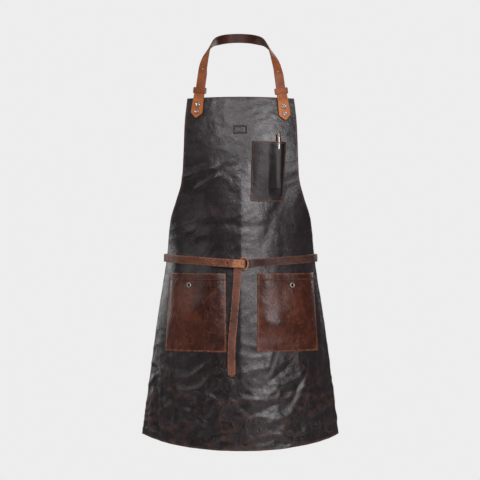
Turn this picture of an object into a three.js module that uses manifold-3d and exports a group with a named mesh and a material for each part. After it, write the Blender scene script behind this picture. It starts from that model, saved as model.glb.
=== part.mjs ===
// Leather butcher apron in its worn shape. Millimetres, +Z up, the front looks towards -Y.
// The origin is the middle of the neck strap's inner face at the nape, where the apron hangs.
import * as THREE from 'three';
import { mergeVertices } from 'three/addons/utils/BufferGeometryUtils.js';
import Module from 'manifold-3d';

const wasm = await Module();
wasm.setup();

// ---- clearances -------------------------------------------------------------------------------
const seatGap = 0.7; // between a curved piece and the panel that it lies on
const tieGap = 1.1; // between a tie and the panel
const flatGap = 0.3; // between two flat pieces that touch
const flexGap = 0.9; // where a strap is split so that it can bend
const flexSpare = 1.5; // degrees more than the swing that the ends are cut back for
const postGap = 0.3; // round a post in its hole
const slideGap = 0.7; // a keeper round what it slides on

// ---- apron panel ------------------------------------------------------------------------------
const panelThickness = 2.2;
const bibTopZ = -172;
const bodyLength = 889; // bib top to the hem, down the middle
const bibBow = 3; // the bib's corners sit this much lower than its middle
const hemRise = 30; // the hem's corners sit this much higher than its middle
const panelColumns = 28;
const panelRows = 30;
// Down the front: drop below the bib top, half width seen from the front, how far the side edges
// lie behind the middle, and how far the middle stands in front of the nape.
const bibTop = { drop: 0, half: 135, wrap: 22, stand: 200 };
const upperChest = { drop: 60, half: 141.5, wrap: 24, stand: 208 };
const chest = { drop: 159, half: 146, wrap: 28, stand: 219 };
const armholeStart = { drop: 212, half: 151, wrap: 38, stand: 224 };
const armholeMiddle = { drop: 262, half: 164.5, wrap: 58, stand: 227 };
const armholeEnd = { drop: 312, half: 179.5, wrap: 86, stand: 229 };
const waist = { drop: 407, half: 190, wrap: 115, stand: 231.5 };
const thigh = { drop: 585, half: 217, wrap: 122, stand: 238 };
const hem = { drop: bodyLength, half: 257, wrap: 126, stand: 236 };
const stations = [
  bibTop, upperChest, chest, armholeStart, armholeMiddle, armholeEnd, waist, thigh, hem,
];

// ---- pockets ----------------------------------------------------------------------------------
const pocketWall = 2;
const pocketSeam = 6; // sewn margin on three sides
const handPocket = { width: 172, height: 197, bulge: 16, edge: 4, rise: 3, columns: 8, rows: 8 };
const handPocketTopZ = -617;
const handPocketInner = { left: 38, right: 44 }; // from the middle, along the leather
const chestPocket = { width: 87, height: 151, bulge: 8, edge: 6, rise: 7, columns: 12, rows: 7 };
const chestPocketMiddle = 72;
const chestPocketTopZ = -286;
const chestPocketTilt = 0.026;
const eyelet = { flange: 7, barrel: 4, hole: 2.7, flangeHeight: 1.3, side: 136, drop: 30 };
const washer = { outer: 6.2, height: 0.8, gap: 1.1 };

// ---- pen --------------------------------------------------------------------------------------
const pen = { radius: 5.25, length: 138, topZ: -265, side: 95 };
const penRidge = 22; // half width of the ridge that the pen raises in the pocket
const penRoom = 4; // between the pen and the ridge

// ---- neck strap, its tabs, keepers and screws ---------------------------------------------------
const strapWidth = 24;
const strapThickness = 3;
const strapSteps = 45; // odd, so that a flat facet lies on the nape
const strapLean = 5.4; // the loop hangs this much to the wearer's right at the nape
const strapHole = 2.4;
const strapHoleAt = 0.145; // share of the loop, from each end, where the punched hole is
const flexZ = -128;
const apronSwing = { forward: 30, back: 15 }; // degrees that the apron swings at the flex line
const tab = { side: 108, width: 30, neck: 26, tip: 13, top: 43, bottom: -35, thickness: 2.5 };
const tabYaw = 0.252;
const tabPitch = 0.128;
const tabLean = 0.105;
const screwZ = { left: -191.5, right: -197 };
const screwSpacing = 19;
const strapEndLow = -27;
const upperCap = 6.7;
const lowerCap = 6;
const capHeight = 2.6;
const postRadius = 2.2;
const nutRadius = 6;
const nutHeight = 1.6;
const keeper = { height: 14, wall: 2, middleZ: { left: 36, right: 40 }, corner: 2.5 };

// ---- waist ties -------------------------------------------------------------------------------
const tieWidth = 20;
const tieThickness = 2.5;
const tieSideZ = -579;
const tieKnotZ = -592.5;
const tieAnchorDrop = tieWidth + 4; // the sewn end lies clear below the tie that passes over the edge
const tieAnchorReach = 38; // how far the sewn end runs forward inside the edge
const backStandOff = 5; // the ties pass the side edge this far outside it
const backCentreBehind = 21.5; // the middle of their bow lies this far behind the side edge
const backDepth = 104;
const crossOffset = 2; // either side of the middle surface where the ties cross
const tieHole = 2.2;
const tieHoleAt = [-71, -33];
const ringRoom = 3.3; // above and below the tie in the ring's hole
const ringRim = 3.7; // at the ring's top and foot
const ring = { x: 8, half: 12.5, holeHalf: 8.3, holeHeight: tieWidth / 2 + ringRoom, thickness: 3 };
// Where a tie lies flat on the front: shares of the way from the middle to the side edge.
const frontShares = [0.39, 0.52, 0.64, 0.76, 0.88];
const edgeInset = 2; // the last point on the front, before a tie turns over the edge
const backTurns = [0.75, 0.4, 0, -0.4, -0.75]; // 1 is the right side, 0 the middle of the back
const tieTuck = 4; // how far the tie reaches past the tail head's side before it is cut to its round
const backSettle = 3; // how far a tie has left its side's level at the second turn
const anchorTuck = 6; // how far a sewn end turns in as it passes the edge
const bightX = 8.3; // the middle of the tail tie where it turns back inside the ring
const tailPivot = new THREE.Vector3(-8, 0, -592.5);
const tailHeadDrop = 20;
const tailRoom = 1; // more room behind the tail, because the panel comes forward below the knot
const tailLength = 262;
const tailHoleUp = 11;
const tailSwing = 10; // degrees to the right
const tailLift = 35; // degrees forwards

// ---- finishes ---------------------------------------------------------------------------------
function finish(color, roughness, metalness = 0) {
  return new THREE.MeshStandardMaterial({ color, roughness, metalness });
}
const blackLeather = finish(0x352d31, 0.45);
const brownLeather = finish(0x5a3126, 0.5);
const tieLeather = finish(0x74473a, 0.55);
const strapLeather = finish(0xa9653c, 0.55);
const nickel = finish(0xb9b5b0, 0.3, 1);
const copper = finish(0xb87850, 0.3, 1);

const apron = new THREE.Group();

function addPiece(name, geometry, material, parent = apron) {
  const piece = new THREE.Mesh(geometry, material);
  piece.name = name;
  parent.add(piece);
  return piece;
}

// ---- joining and cutting ----------------------------------------------------------------------
function solidOf(geometry) {
  const bare = geometry.clone();
  bare.deleteAttribute('normal');
  bare.deleteAttribute('uv');
  const merged = mergeVertices(bare, 1e-4);
  const mesh = new wasm.Mesh({
    numProp: 3,
    vertProperties: new Float32Array(merged.attributes.position.array),
    triVerts: new Uint32Array(merged.index.array),
  });
  return new wasm.Manifold(mesh);
}

function geometryOf(solid) {
  const mesh = solid.getMesh();
  const geometry = new THREE.BufferGeometry();
  geometry.setAttribute('position', new THREE.BufferAttribute(new Float32Array(mesh.vertProperties), 3));
  geometry.setIndex(new THREE.BufferAttribute(new Uint32Array(mesh.triVerts), 1));
  return geometry;
}

function cut(geometry, cutters) {
  let solid = solidOf(geometry);
  for (const cutter of cutters) solid = solid.subtract(solidOf(cutter));
  return geometryOf(solid);
}

// ---- the apron's surface ----------------------------------------------------------------------
// A smooth value down the front, read from the stations; above the bib top it runs on straight.
function stationValue(key, z) {
  const drop = bibTopZ - z;
  let i = 0;
  while (i < stations.length - 2 && drop > stations[i + 1].drop) i += 1;
  const slope = (j) => {
    const [a, b] = [stations[Math.max(j - 1, 0)], stations[Math.min(j + 1, stations.length - 1)]];
    return (b[key] - a[key]) / (b.drop - a.drop);
  };
  const [low, high] = [stations[i], stations[i + 1]];
  const span = high.drop - low.drop;
  if (drop < 0) return key === 'stand' ? low[key] + slope(0) * drop : low[key];
  const t = Math.min((drop - low.drop) / span, 1);
  const ease = t * t * (3 - 2 * t);
  const lean = t * (1 - t) * span;
  return low[key] * (1 - ease) + high[key] * ease + lean * ((1 - t) * slope(i) - t * slope(i + 1));
}

// Each level is an arc of a circle through the middle and both side edges.
function arcAt(z) {
  const half = stationValue('half', z);
  const wrap = stationValue('wrap', z);
  const radius = (half * half + wrap * wrap) / (2 * wrap);
  return { radius, front: -stationValue('stand', z), reach: radius * Math.asin(half / radius) };
}

// side: along the leather from the middle; out: away from the wearer.
function place(side, z, out) {
  const { radius, front } = arcAt(z);
  const turn = side / radius;
  const far = radius + out;
  return new THREE.Vector3(far * Math.sin(turn), front + radius - far * Math.cos(turn), z);
}

function bend(geometry, map) {
  const position = geometry.attributes.position;
  const point = new THREE.Vector3();
  for (let i = 0; i < position.count; i += 1) {
    point.copy(map(point.fromBufferAttribute(position, i)));
    position.setXYZ(i, point.x, point.y, point.z);
  }
  return geometry;
}

// A piece drawn flat, as the cut leather seen from the front, laid on the apron's surface.
const wrapped = (geometry) => bend(geometry, (p) => place(p.x, p.z, -p.y));

// ---- straps -----------------------------------------------------------------------------------
// A flat band along a route: route(u) gives the middle of the band and the way its outer face looks.
function band(route, width, thickness, steps) {
  const geometry = new THREE.BoxGeometry(width, thickness, 1, 1, 1, steps);
  const small = 1e-3;
  return bend(geometry, (p) => {
    const u = p.z + 0.5;
    const { at, out } = route(u);
    const along = route(Math.min(u + small, 1)).at.clone().sub(route(Math.max(u - small, 0)).at).normalize();
    const side = new THREE.Vector3().crossVectors(out, along).normalize();
    const face = new THREE.Vector3().crossVectors(along, side);
    return at.clone().addScaledVector(side, p.x).addScaledVector(face, p.y);
  });
}

// A route whose band stands on edge and travels anticlockwise seen from above. Each stop of the
// route has its place and the way up the surface there.
function levelRoute(stops) {
  const curve = new THREE.CatmullRomCurve3(stops.map(({ at }) => at), false, 'centripetal');
  const ups = new THREE.CatmullRomCurve3(stops.map(({ up }) => up));
  return (u) => {
    const up = ups.getPoint(curve.getUtoTmapping(u));
    return { at: curve.getPointAt(u), out: curve.getTangentAt(u).cross(up).normalize() };
  };
}

function onPanel(side, z, out) {
  const reach = 4;
  const up = place(side, z + reach, out).sub(place(side, z - reach, out)).normalize();
  return { at: place(side, z, out), up };
}

// A drill across a band at a point, looking along its outer face.
function drillAt(at, out, radius, length) {
  const drill = new THREE.CylinderGeometry(radius, radius, length, 14);
  drill.applyQuaternion(new THREE.Quaternion().setFromUnitVectors(new THREE.Vector3(0, 1, 0), out));
  return drill.translate(at.x, at.y, at.z);
}

// What is cut off the end of a strap where it bends about a line through (0, y, z) along X: both ends
// are ridges, low enough at the front and back for the bend. up is 1 for the end above the line.
function bendRelief(y, z, up, forward, back) {
  const reach = 40;
  const slope = (degrees) => Math.tan(THREE.MathUtils.degToRad((degrees + flexSpare) / 2)) * reach;
  const shape = new THREE.Shape();
  shape.moveTo(0, flexGap / 2);
  shape.lineTo(reach, flexGap / 2 + slope(back));
  shape.lineTo(reach, -reach);
  shape.lineTo(-reach, -reach);
  shape.lineTo(-reach, flexGap / 2 + slope(forward));
  shape.closePath();
  const width = 300;
  const wedge = new THREE.ExtrudeGeometry(shape, { depth: width, bevelEnabled: false });
  wedge.applyMatrix4(new THREE.Matrix4().set(0, 0, 1, -width / 2, 1, 0, 0, 0, 0, 1, 0, 0, 0, 0, 0, 1));
  if (up < 0) wedge.rotateX(Math.PI).rotateZ(Math.PI);
  return wedge.translate(0, y, z);
}

// ---- tab frames: a flat local frame on each bib corner, +Z up the strap, -Y outwards ------------
function tabFrame(side, name) {
  const frame = new THREE.Group();
  frame.position.copy(place(side * tab.side, screwZ[name], 0));
  frame.rotation.set(-tabPitch, -tabLean * side, tabYaw * side, 'ZXY');
  frame.updateMatrixWorld(true);
  return frame;
}

const strapBackOut = seatGap;
const strapFrontOut = strapBackOut + strapThickness;
const tabBackOut = strapFrontOut + flatGap;
const tabFrontOut = tabBackOut + tab.thickness;
const strapMiddleOut = (strapBackOut + strapFrontOut) / 2;

const tabFrames = { left: tabFrame(-1, 'left'), right: tabFrame(1, 'right') };

// Where the bend line passes a tab frame.
function flexHeight(frame) {
  const foot = new THREE.Vector3(0, -strapMiddleOut, 0).applyMatrix4(frame.matrixWorld);
  const head = new THREE.Vector3(0, -strapMiddleOut, 1).applyMatrix4(frame.matrixWorld);
  return (flexZ - foot.z) / (head.z - foot.z);
}

const flexY = Object.values(tabFrames).reduce((sum, frame) => {
  const at = new THREE.Vector3(0, -strapMiddleOut, flexHeight(frame)).applyMatrix4(frame.matrixWorld);
  return sum + at.y / 2;
}, 0);
const flexRelief = (up) => bendRelief(flexY, flexZ, up, apronSwing.forward, apronSwing.back);
const flexOverrun = 5; // a strap runs this far past the bend line before it is cut

// Screw posts run through the tab, the strap end and the bib.
function screwDrill(z) {
  const drill = new THREE.CylinderGeometry(postRadius + postGap, postRadius + postGap, 30, 14);
  return drill.translate(0, 0, z);
}

function panel(drills) {
  const geometry = new THREE.BoxGeometry(2, panelThickness, 1, panelColumns, 1, panelRows);
  geometry.translate(0, panelThickness / 2, 0);
  bend(geometry, (p) => {
    const v = p.z + 0.5;
    const top = bibTopZ - bibBow * p.x * p.x;
    const foot = bibTopZ - bodyLength + hemRise * p.x * p.x;
    const z = foot + (top - foot) * v;
    return new THREE.Vector3(p.x * arcAt(z).reach, p.y, z);
  });
  return cut(wrapped(geometry), drills);
}

// A pouch drawn flat: sewn flat on three sides, swelling towards its open top.
function pouch(size, middle, topZ, tilt, ridgeAt = () => 0) {
  const { width, height, bulge, edge, rise, columns, rows } = size;
  const swell = (x, z) => {
    const u = Math.min(Math.abs(x) / (width / 2), 1);
    const v = Math.min(Math.max((z + height) / height, 0), 1);
    return (bulge + ridgeAt(x)) * (1 - u ** edge) * (1 - (1 - v) ** rise);
  };
  const place3 = (x, out, z) => {
    const [c, s] = [Math.cos(tilt), Math.sin(tilt)];
    return place(middle + x * c + z * s, topZ + z * c - x * s, out);
  };
  const outer = new THREE.BoxGeometry(width, 1, height, columns, 1, rows).translate(0, 0, -height / 2);
  bend(outer, (p) => place3(p.x, seatGap + (0.5 - p.y) * (pocketWall + swell(p.x, p.z)), p.z));
  const spare = 6;
  const innerHeight = height - pocketSeam + spare;
  const inner = new THREE.BoxGeometry(width - 2 * pocketSeam, 1, innerHeight, columns, 1, rows);
  inner.translate(0, 0, spare - innerHeight / 2);
  bend(inner, (p) => place3(p.x, (p.y > 0 ? seatGap - spare : seatGap + swell(p.x, p.z)), p.z));
  return { geometry: cut(outer, [inner]), outAt: (x, z) => seatGap + pocketWall + swell(x, z) };
}

// A turned piece whose axis looks outwards, towards -Y: the profile holds radius and height above its seat.
function turned(profile, segments = 20) {
  const points = profile.map(([r, y]) => new THREE.Vector2(r, y));
  return new THREE.LatheGeometry(points, segments).rotateX(Math.PI);
}

function capScrew(capRadius, postLength) {
  const rim = capRadius * 0.94;
  return turned([
    [0, -postLength], [postRadius, -postLength], [postRadius, 0], [rim, 0], [capRadius, 0.5],
    [capRadius, 1], [capRadius * 0.7, capHeight * 0.85], [0, capHeight],
  ]);
}

function nut() {
  const bore = postRadius + postGap;
  return turned([
    [bore, 0], [bore, -nutHeight], [nutRadius * 0.85, -nutHeight], [nutRadius, -nutHeight * 0.6],
    [nutRadius, 0], [bore, 0],
  ]);
}

function ringProfile(inner, outer, low, high) {
  return turned([[inner, low], [outer, low], [outer, high], [inner, high], [inner, low]]);
}

function tabGeometry() {
  const shape = new THREE.Shape();
  shape.moveTo(-tab.neck / 2, tab.top);
  shape.lineTo(-tab.width / 2, tab.bottom + tab.tip);
  shape.lineTo(-2, tab.bottom + 1);
  shape.quadraticCurveTo(0, tab.bottom - 0.5, 2, tab.bottom + 1);
  shape.lineTo(tab.width / 2, tab.bottom + tab.tip);
  shape.lineTo(tab.neck / 2, tab.top);
  shape.closePath();
  const extrusion = { depth: tab.thickness, bevelEnabled: false, curveSegments: 4 };
  return new THREE.ExtrudeGeometry(shape, extrusion).rotateX(Math.PI / 2).translate(0, -tabBackOut, 0);
}

function roundedLoop(width, depth, corner) {
  const [x, y] = [width / 2, depth / 2];
  const path = new THREE.Shape();
  path.moveTo(x - corner, -y);
  path.absarc(x - corner, -y + corner, corner, -Math.PI / 2, 0, false);
  path.absarc(x - corner, y - corner, corner, 0, Math.PI / 2, false);
  path.absarc(-x + corner, y - corner, corner, Math.PI / 2, Math.PI, false);
  path.absarc(-x + corner, -y + corner, corner, Math.PI, Math.PI * 1.5, false);
  path.closePath();
  return path;
}

function keeperGeometry() {
  const tabShare = 0.4; // how far down the tab's taper the keeper may slide
  const tabWidth = tab.neck + (tab.width - tab.neck) * tabShare;
  const innerWidth = Math.max(tabWidth, strapWidth) + 2 * slideGap;
  const innerDepth = tabFrontOut - strapBackOut + 2 * slideGap;
  const shape = roundedLoop(innerWidth + 2 * keeper.wall, innerDepth + 2 * keeper.wall, keeper.corner);
  shape.holes.push(roundedLoop(innerWidth, innerDepth, 0.6));
  const extrusion = { depth: keeper.height, bevelEnabled: false, curveSegments: 3 };
  const middleOut = (tabFrontOut + strapBackOut) / 2;
  return new THREE.ExtrudeGeometry(shape, extrusion).translate(0, -middleOut, -keeper.height / 2);
}

// ---- bib corners ------------------------------------------------------------------------------
const panelDrills = [];
for (const [name, frame] of Object.entries(tabFrames)) {
  apron.add(frame);
  const top = flexHeight(frame) + flexOverrun;
  const holes = [screwDrill(0), screwDrill(-screwSpacing)];
  for (const hole of holes) panelDrills.push(hole.clone().applyMatrix4(frame.matrixWorld));
  const endLength = top - strapEndLow;
  const strapEnd = new THREE.BoxGeometry(strapWidth, strapThickness, endLength);
  strapEnd.translate(0, -strapMiddleOut, strapEndLow + endLength / 2);
  const relief = flexRelief(-1).applyMatrix4(frame.matrixWorld.clone().invert());
  addPiece(`strap_end_${name}`, cut(strapEnd, [...holes, relief]), strapLeather, frame);
  addPiece(`strap_tab_${name}`, cut(tabGeometry(), holes), strapLeather, frame);
  const loop = addPiece(`keeper_${name}`, keeperGeometry(), strapLeather, frame);
  loop.position.z = keeper.middleZ[name];
  const postLength = tabFrontOut + flatGap + panelThickness + seatGap + nutHeight;
  for (const [level, z, radius] of [['upper', 0, upperCap], ['lower', -screwSpacing, lowerCap]]) {
    const screw = addPiece(`tab_screw_${name}_${level}`, capScrew(radius, postLength), nickel, frame);
    screw.position.set(0, -tabFrontOut - flatGap, z);
    const back = addPiece(`tab_nut_${name}_${level}`, nut(), nickel, frame);
    back.position.set(0, panelThickness + seatGap, z);
  }
}

addPiece('apron_panel', panel(panelDrills), blackLeather);

// ---- neck strap -------------------------------------------------------------------------------
// One side of the loop from the nape to the shoulder, for a nape that leans to neither side: points on
// the middle of the band, each with the way that its outer face looks.
const napeHalf = [
  { at: [30, -2, -2], out: [0.2, 0.97, 0.1] },
  { at: [53, -27, -9.5], out: [0.5, 0.82, 0.28] },
  { at: [65.5, -64, -19], out: [0.72, 0.5, 0.45] },
  { at: [75.7, -104, -36], out: [0.87, 0, 0.49] },
  { at: [83, -132, -52], out: [0.8, -0.42, 0.43] },
  { at: [89.6, -155, -74], out: [0.62, -0.72, 0.33] },
  { at: [94.8, -171, -98], out: [0.44, -0.87, 0.22] },
];

function neckStrap() {
  const points = [];
  const normals = [];
  const addSide = (side, frame) => {
    const list = napeHalf.map(({ at, out }) => {
      const share = 1 - at[2] / flexZ;
      return [
        new THREE.Vector3(side * at[0] - strapLean * share, at[1], at[2]),
        new THREE.Vector3(side * out[0], out[1], out[2]).normalize(),
      ];
    });
    const outer = new THREE.Vector3(0, -1, 0).transformDirection(frame.matrixWorld);
    for (const rise of [14, -flexOverrun]) {
      const at = new THREE.Vector3(0, -strapMiddleOut, flexHeight(frame) + rise);
      list.push([at.applyMatrix4(frame.matrixWorld), outer]);
    }
    if (side < 0) list.reverse();
    for (const [at, out] of list) {
      points.push(at);
      normals.push(out);
    }
  };
  addSide(-1, tabFrames.left);
  points.push(new THREE.Vector3(-strapLean, strapThickness / 2, 0));
  normals.push(new THREE.Vector3(0, 1, 0));
  addSide(1, tabFrames.right);
  const middles = new THREE.CatmullRomCurve3(points);
  const faces = new THREE.CatmullRomCurve3(normals);
  const route = (u) => ({ at: middles.getPoint(u), out: faces.getPoint(u).normalize() });
  const drills = [strapHoleAt, 1 - strapHoleAt].map((u) => {
    const { at, out } = route(u);
    return drillAt(at, out, strapHole, 12);
  });
  return cut(band(route, strapWidth, strapThickness, strapSteps), [...drills, flexRelief(1)]);
}
addPiece('neck_strap', neckStrap(), strapLeather);

// ---- pockets, eyelets and pen -----------------------------------------------------------------
for (const [name, side] of [['left', -1], ['right', 1]]) {
  const middle = side * (handPocketInner[name] + handPocket.width / 2);
  const { geometry, outAt } = pouch(handPocket, middle, handPocketTopZ, 0);
  const eyeletSide = side * eyelet.side;
  const out = outAt(eyeletSide - middle, -eyelet.drop);
  const seat = new THREE.Group();
  seat.position.copy(place(eyeletSide, handPocketTopZ - eyelet.drop, out));
  seat.rotation.z = eyeletSide / arcAt(handPocketTopZ - eyelet.drop).radius;
  seat.updateMatrixWorld(true);
  apron.add(seat);
  const hole = new THREE.CylinderGeometry(eyelet.barrel + postGap, eyelet.barrel + postGap, 12, 16);
  addPiece(`hand_pocket_${name}`, cut(geometry, [hole.applyMatrix4(seat.matrixWorld)]), brownLeather);
  const low = -(pocketWall + washer.gap + washer.height);
  const profile = [
    [eyelet.hole, low], [eyelet.barrel, low], [eyelet.barrel, 0], [eyelet.flange, 0],
    [eyelet.flange * 0.9, eyelet.flangeHeight * 0.7], [eyelet.hole + 1, eyelet.flangeHeight],
    [eyelet.hole, 0.5], [eyelet.hole, low],
  ];
  const front = addPiece(`pocket_eyelet_${name}`, turned(profile), nickel, seat);
  front.position.y = -seatGap;
  const back = ringProfile(eyelet.barrel + postGap, washer.outer, 0, washer.height);
  addPiece(`eyelet_washer_${name}`, back, nickel, seat).position.y = pocketWall + washer.gap + washer.height;
}

// The pen stands in the chest pocket against the bib, clear of the bib's hollow and its crown.
const penFootZ = pen.topZ - pen.length;
function bibCrown() {
  const [foot, top] = [place(pen.side, penFootZ, 0), place(pen.side, pen.topZ, 0)];
  let crown = 0;
  for (let t = 0; t <= 1; t += 0.1) {
    const surface = place(pen.side, penFootZ + (pen.topZ - penFootZ) * t, 0);
    crown = Math.max(crown, foot.y + (top.y - foot.y) * t - surface.y);
  }
  return crown;
}
const penOut = pen.radius + seatGap + bibCrown();
const penFoot = place(pen.side, penFootZ, penOut);
const penAxis = place(pen.side, pen.topZ, penOut).sub(penFoot).normalize();

const ridgeHeight = penOut + pen.radius + penRoom - chestPocket.bulge;
const ridgeAt = (x) => {
  const away = Math.abs(x - (pen.side - chestPocketMiddle)) / penRidge;
  return away < 1 ? ridgeHeight * Math.cos((away * Math.PI) / 2) ** 0.8 : 0;
};
const chestPouch = pouch(chestPocket, chestPocketMiddle, chestPocketTopZ, chestPocketTilt, ridgeAt);
addPiece('chest_pocket', chestPouch.geometry, blackLeather);

function penGeometry() {
  const { radius, length } = pen;
  const nose = 3;
  const points = [
    [0, 0], [radius * 0.6, 0.4], [radius, nose], [radius, length - nose],
    [radius * 0.75, length - 0.8], [0, length],
  ].map(([r, y]) => new THREE.Vector2(r, y));
  const geometry = new THREE.LatheGeometry(points, 16);
  geometry.applyQuaternion(new THREE.Quaternion().setFromUnitVectors(new THREE.Vector3(0, 1, 0), penAxis));
  return geometry.translate(penFoot.x, penFoot.y, penFoot.z);
}
addPiece('pen', penGeometry(), copper);

// ---- waist ties -------------------------------------------------------------------------------
const tieOut = tieGap + tieThickness / 2;
const underOut = seatGap + tailRoom + tieThickness / 2;
const ringOut = underOut + tieThickness / 2 + seatGap + ring.thickness / 2;
const overOut = ringOut + ring.thickness / 2 + seatGap + tieThickness / 2;
const anchorIn = -(panelThickness + tieGap + tieThickness / 2);

// Height of a front run: level with the sides at the edge, lower at the knot.
function tieZ(side) {
  const share = Math.min(Math.abs(side) / arcAt(tieSideZ).reach, 1);
  return tieKnotZ + (tieSideZ - tieKnotZ) * share;
}

// The tail's head is round about the pivot, so that it swings clear of the tie's hollow end.
const headY = place(0, tieKnotZ, underOut).y;
function headGeometry(room, degrees, thickness, longer = 0) {
  const r = tieWidth / 2 + room;
  const foot = -tailHeadDrop - longer;
  const shape = new THREE.Shape();
  shape.moveTo(-r, foot);
  shape.lineTo(r, foot);
  shape.lineTo(r, 0);
  shape.absarc(0, 0, r, 0, Math.PI, false);
  shape.closePath();
  const extrusion = { depth: thickness, bevelEnabled: false, curveSegments: 8 };
  const geometry = new THREE.ExtrudeGeometry(shape, extrusion).rotateX(Math.PI / 2);
  geometry.rotateY(-THREE.MathUtils.degToRad(degrees));
  return geometry.translate(tailPivot.x, headY + thickness / 2, tailPivot.z);
}

const lowZ = tieSideZ - tieAnchorDrop;
const middleZ = (tieSideZ + lowZ) / 2;
const edgeReach = arcAt(tieSideZ).reach;
const lowReach = arcAt(lowZ).reach;

// A point of the ties round the back: turn is 0 at the middle of the back and 1 at a side.
function backPoint(turn, offset, z) {
  const angle = (turn * Math.PI) / 2;
  const half = stationValue('half', tieSideZ) + backStandOff + offset;
  const centreY = stationValue('wrap', tieSideZ) - stationValue('stand', tieSideZ) + backCentreBehind;
  const at = new THREE.Vector3(
    half * Math.sin(angle), centreY + (backDepth + offset) * Math.cos(angle), z,
  );
  return { at, up: new THREE.Vector3(0, 0, 1) };
}

// Round the back from the right side to the left, changing level so that the ties cross clear.
function backRun(offset, fromZ, toZ) {
  const settle = Math.sign(toZ - fromZ) * backSettle;
  const levels = [fromZ, fromZ + settle, middleZ, toZ - settle, toZ];
  return backTurns.map((turn, i) => backPoint(turn, offset, levels[i]));
}

// The sewn end inside a side edge: side is 1 for the right, and the points run towards the edge.
function sewnEnd(side) {
  const inside = [lowReach - tieAnchorReach, lowReach - 2 * edgeInset, lowReach + edgeInset];
  const points = inside.map((s) => onPanel(side * s, lowZ, anchorIn));
  return [...points, backPoint(side * 1.02, -anchorTuck, lowZ)];
}

// From the ring on the front, over the right edge, round the back, sewn inside the left edge.
function loopTie() {
  const start = ring.x + ring.half + flatGap;
  const landing = [[start, ringOut], [34, ringOut - 0.8], [58, tieOut + 0.5]];
  const points = landing.map(([s, out]) => onPanel(s, tieZ(s), out));
  for (const share of frontShares) points.push(onPanel(share * edgeReach, tieZ(share * edgeReach), tieOut));
  points.push(onPanel(edgeReach - edgeInset, tieSideZ, tieOut));
  points.push(backPoint(1, crossOffset, tieSideZ), ...backRun(crossOffset, tieSideZ, lowZ));
  points.push(...sewnEnd(-1).reverse());
  return band(levelRoute(points), tieWidth, tieThickness, 64);
}

// Sewn inside the right edge, round the back, over the left edge, along the front, through the ring
// and back behind it to the tail.
function tailTie() {
  const points = [...sewnEnd(1), ...backRun(-crossOffset, lowZ, tieSideZ)];
  points.push(backPoint(-1, crossOffset, tieSideZ), onPanel(edgeInset - edgeReach, tieSideZ, tieOut));
  for (const share of frontShares.toReversed()) {
    points.push(onPanel(-share * edgeReach, tieZ(share * edgeReach), tieOut));
  }
  const rising = [[64, tieOut + 1], [38, overOut - 1.5], [14, overOut]];
  for (const [s, out] of rising) points.push(onPanel(-s, tieZ(s), out));
  const turnRadius = (overOut - underOut) / 2;
  for (const angle of [90, 45, 0, -45, -90]) {
    const a = THREE.MathUtils.degToRad(angle);
    const s = bightX - turnRadius + turnRadius * Math.cos(a);
    points.push(onPanel(s, tieKnotZ, ringOut + turnRadius * Math.sin(a)));
  }
  points.push(onPanel(tailPivot.x + tieWidth / 2 - tieTuck, tieKnotZ, underOut));
  const drills = tieHoleAt.map((s) => {
    const out = place(s, tieZ(s), 1).sub(place(s, tieZ(s), 0));
    return drillAt(place(s, tieZ(s), overOut / 2), out, tieHole, 4 * overOut);
  });
  const sweep = [0, 0.5, 1].map((share) => headGeometry(flatGap, share * tailSwing, 3 * tieThickness));
  return cut(band(levelRoute(points), tieWidth, tieThickness, 90), [...drills, ...sweep]);
}
addPiece('loop_tie', loopTie(), tieLeather);
addPiece('tail_tie', tailTie(), tieLeather);

// A flat ring: the tail tie passes through it and turns back behind, round its near side.
function tieRing() {
  const shape = new THREE.Shape();
  shape.absellipse(0, 0, ring.half, ring.holeHeight + ringRim, 0, 2 * Math.PI, false);
  const hole = new THREE.Path();
  hole.absellipse(0, 0, ring.holeHalf, ring.holeHeight, 0, 2 * Math.PI, false);
  shape.holes.push(hole);
  const extrusion = { depth: ring.thickness, bevelEnabled: false, curveSegments: 24 };
  const geometry = new THREE.ExtrudeGeometry(shape, extrusion).rotateX(Math.PI / 2);
  return geometry.translate(ring.x, place(0, tieKnotZ, ringOut - ring.thickness / 2).y, tieKnotZ);
}
addPiece('tie_ring', tieRing(), tieLeather);

const tailFlexZ = tailPivot.z - tailHeadDrop - flexGap / 2;
const tailRelief = (up) => bendRelief(headY, tailFlexZ, up, tailLift, 0);
const headOverrun = 2;
addPiece('tail_head', cut(headGeometry(0, 0, tieThickness, headOverrun), [tailRelief(1)]), tieLeather);

// The tail drifts left and a little forward as it hangs: across, forward and the share of its length.
const tailRoute = [[0, 0, 0], [-1, -0.6, 0.08], [-8, -4.6, 0.42], [-14.5, -6.6, 0.72], [-14.5, -6.6, 1]];

function tailStrap() {
  const topZ = tailFlexZ + headOverrun;
  const points = tailRoute.map(
    ([x, y, share]) => new THREE.Vector3(tailPivot.x + x, headY + y, topZ - share * tailLength),
  );
  const curve = new THREE.CatmullRomCurve3(points);
  const out = new THREE.Vector3(0, -1, 0);
  const route = (u) => ({ at: curve.getPointAt(u), out });
  const hole = curve.getPointAt(1 - tailHoleUp / tailLength);
  const drill = drillAt(hole, out, tieHole, 12);
  return cut(band(route, tieWidth - 1, tieThickness, 20), [drill, tailRelief(-1)]);
}
addPiece('tail_strap', tailStrap(), tieLeather);

export default apron;
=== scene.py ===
from bisect import bisect_right
import bmesh
import bpy
from math import asin, copysign, cos, exp, pi, radians, sin, sqrt
from mathutils import Matrix, Vector, noise


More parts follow.
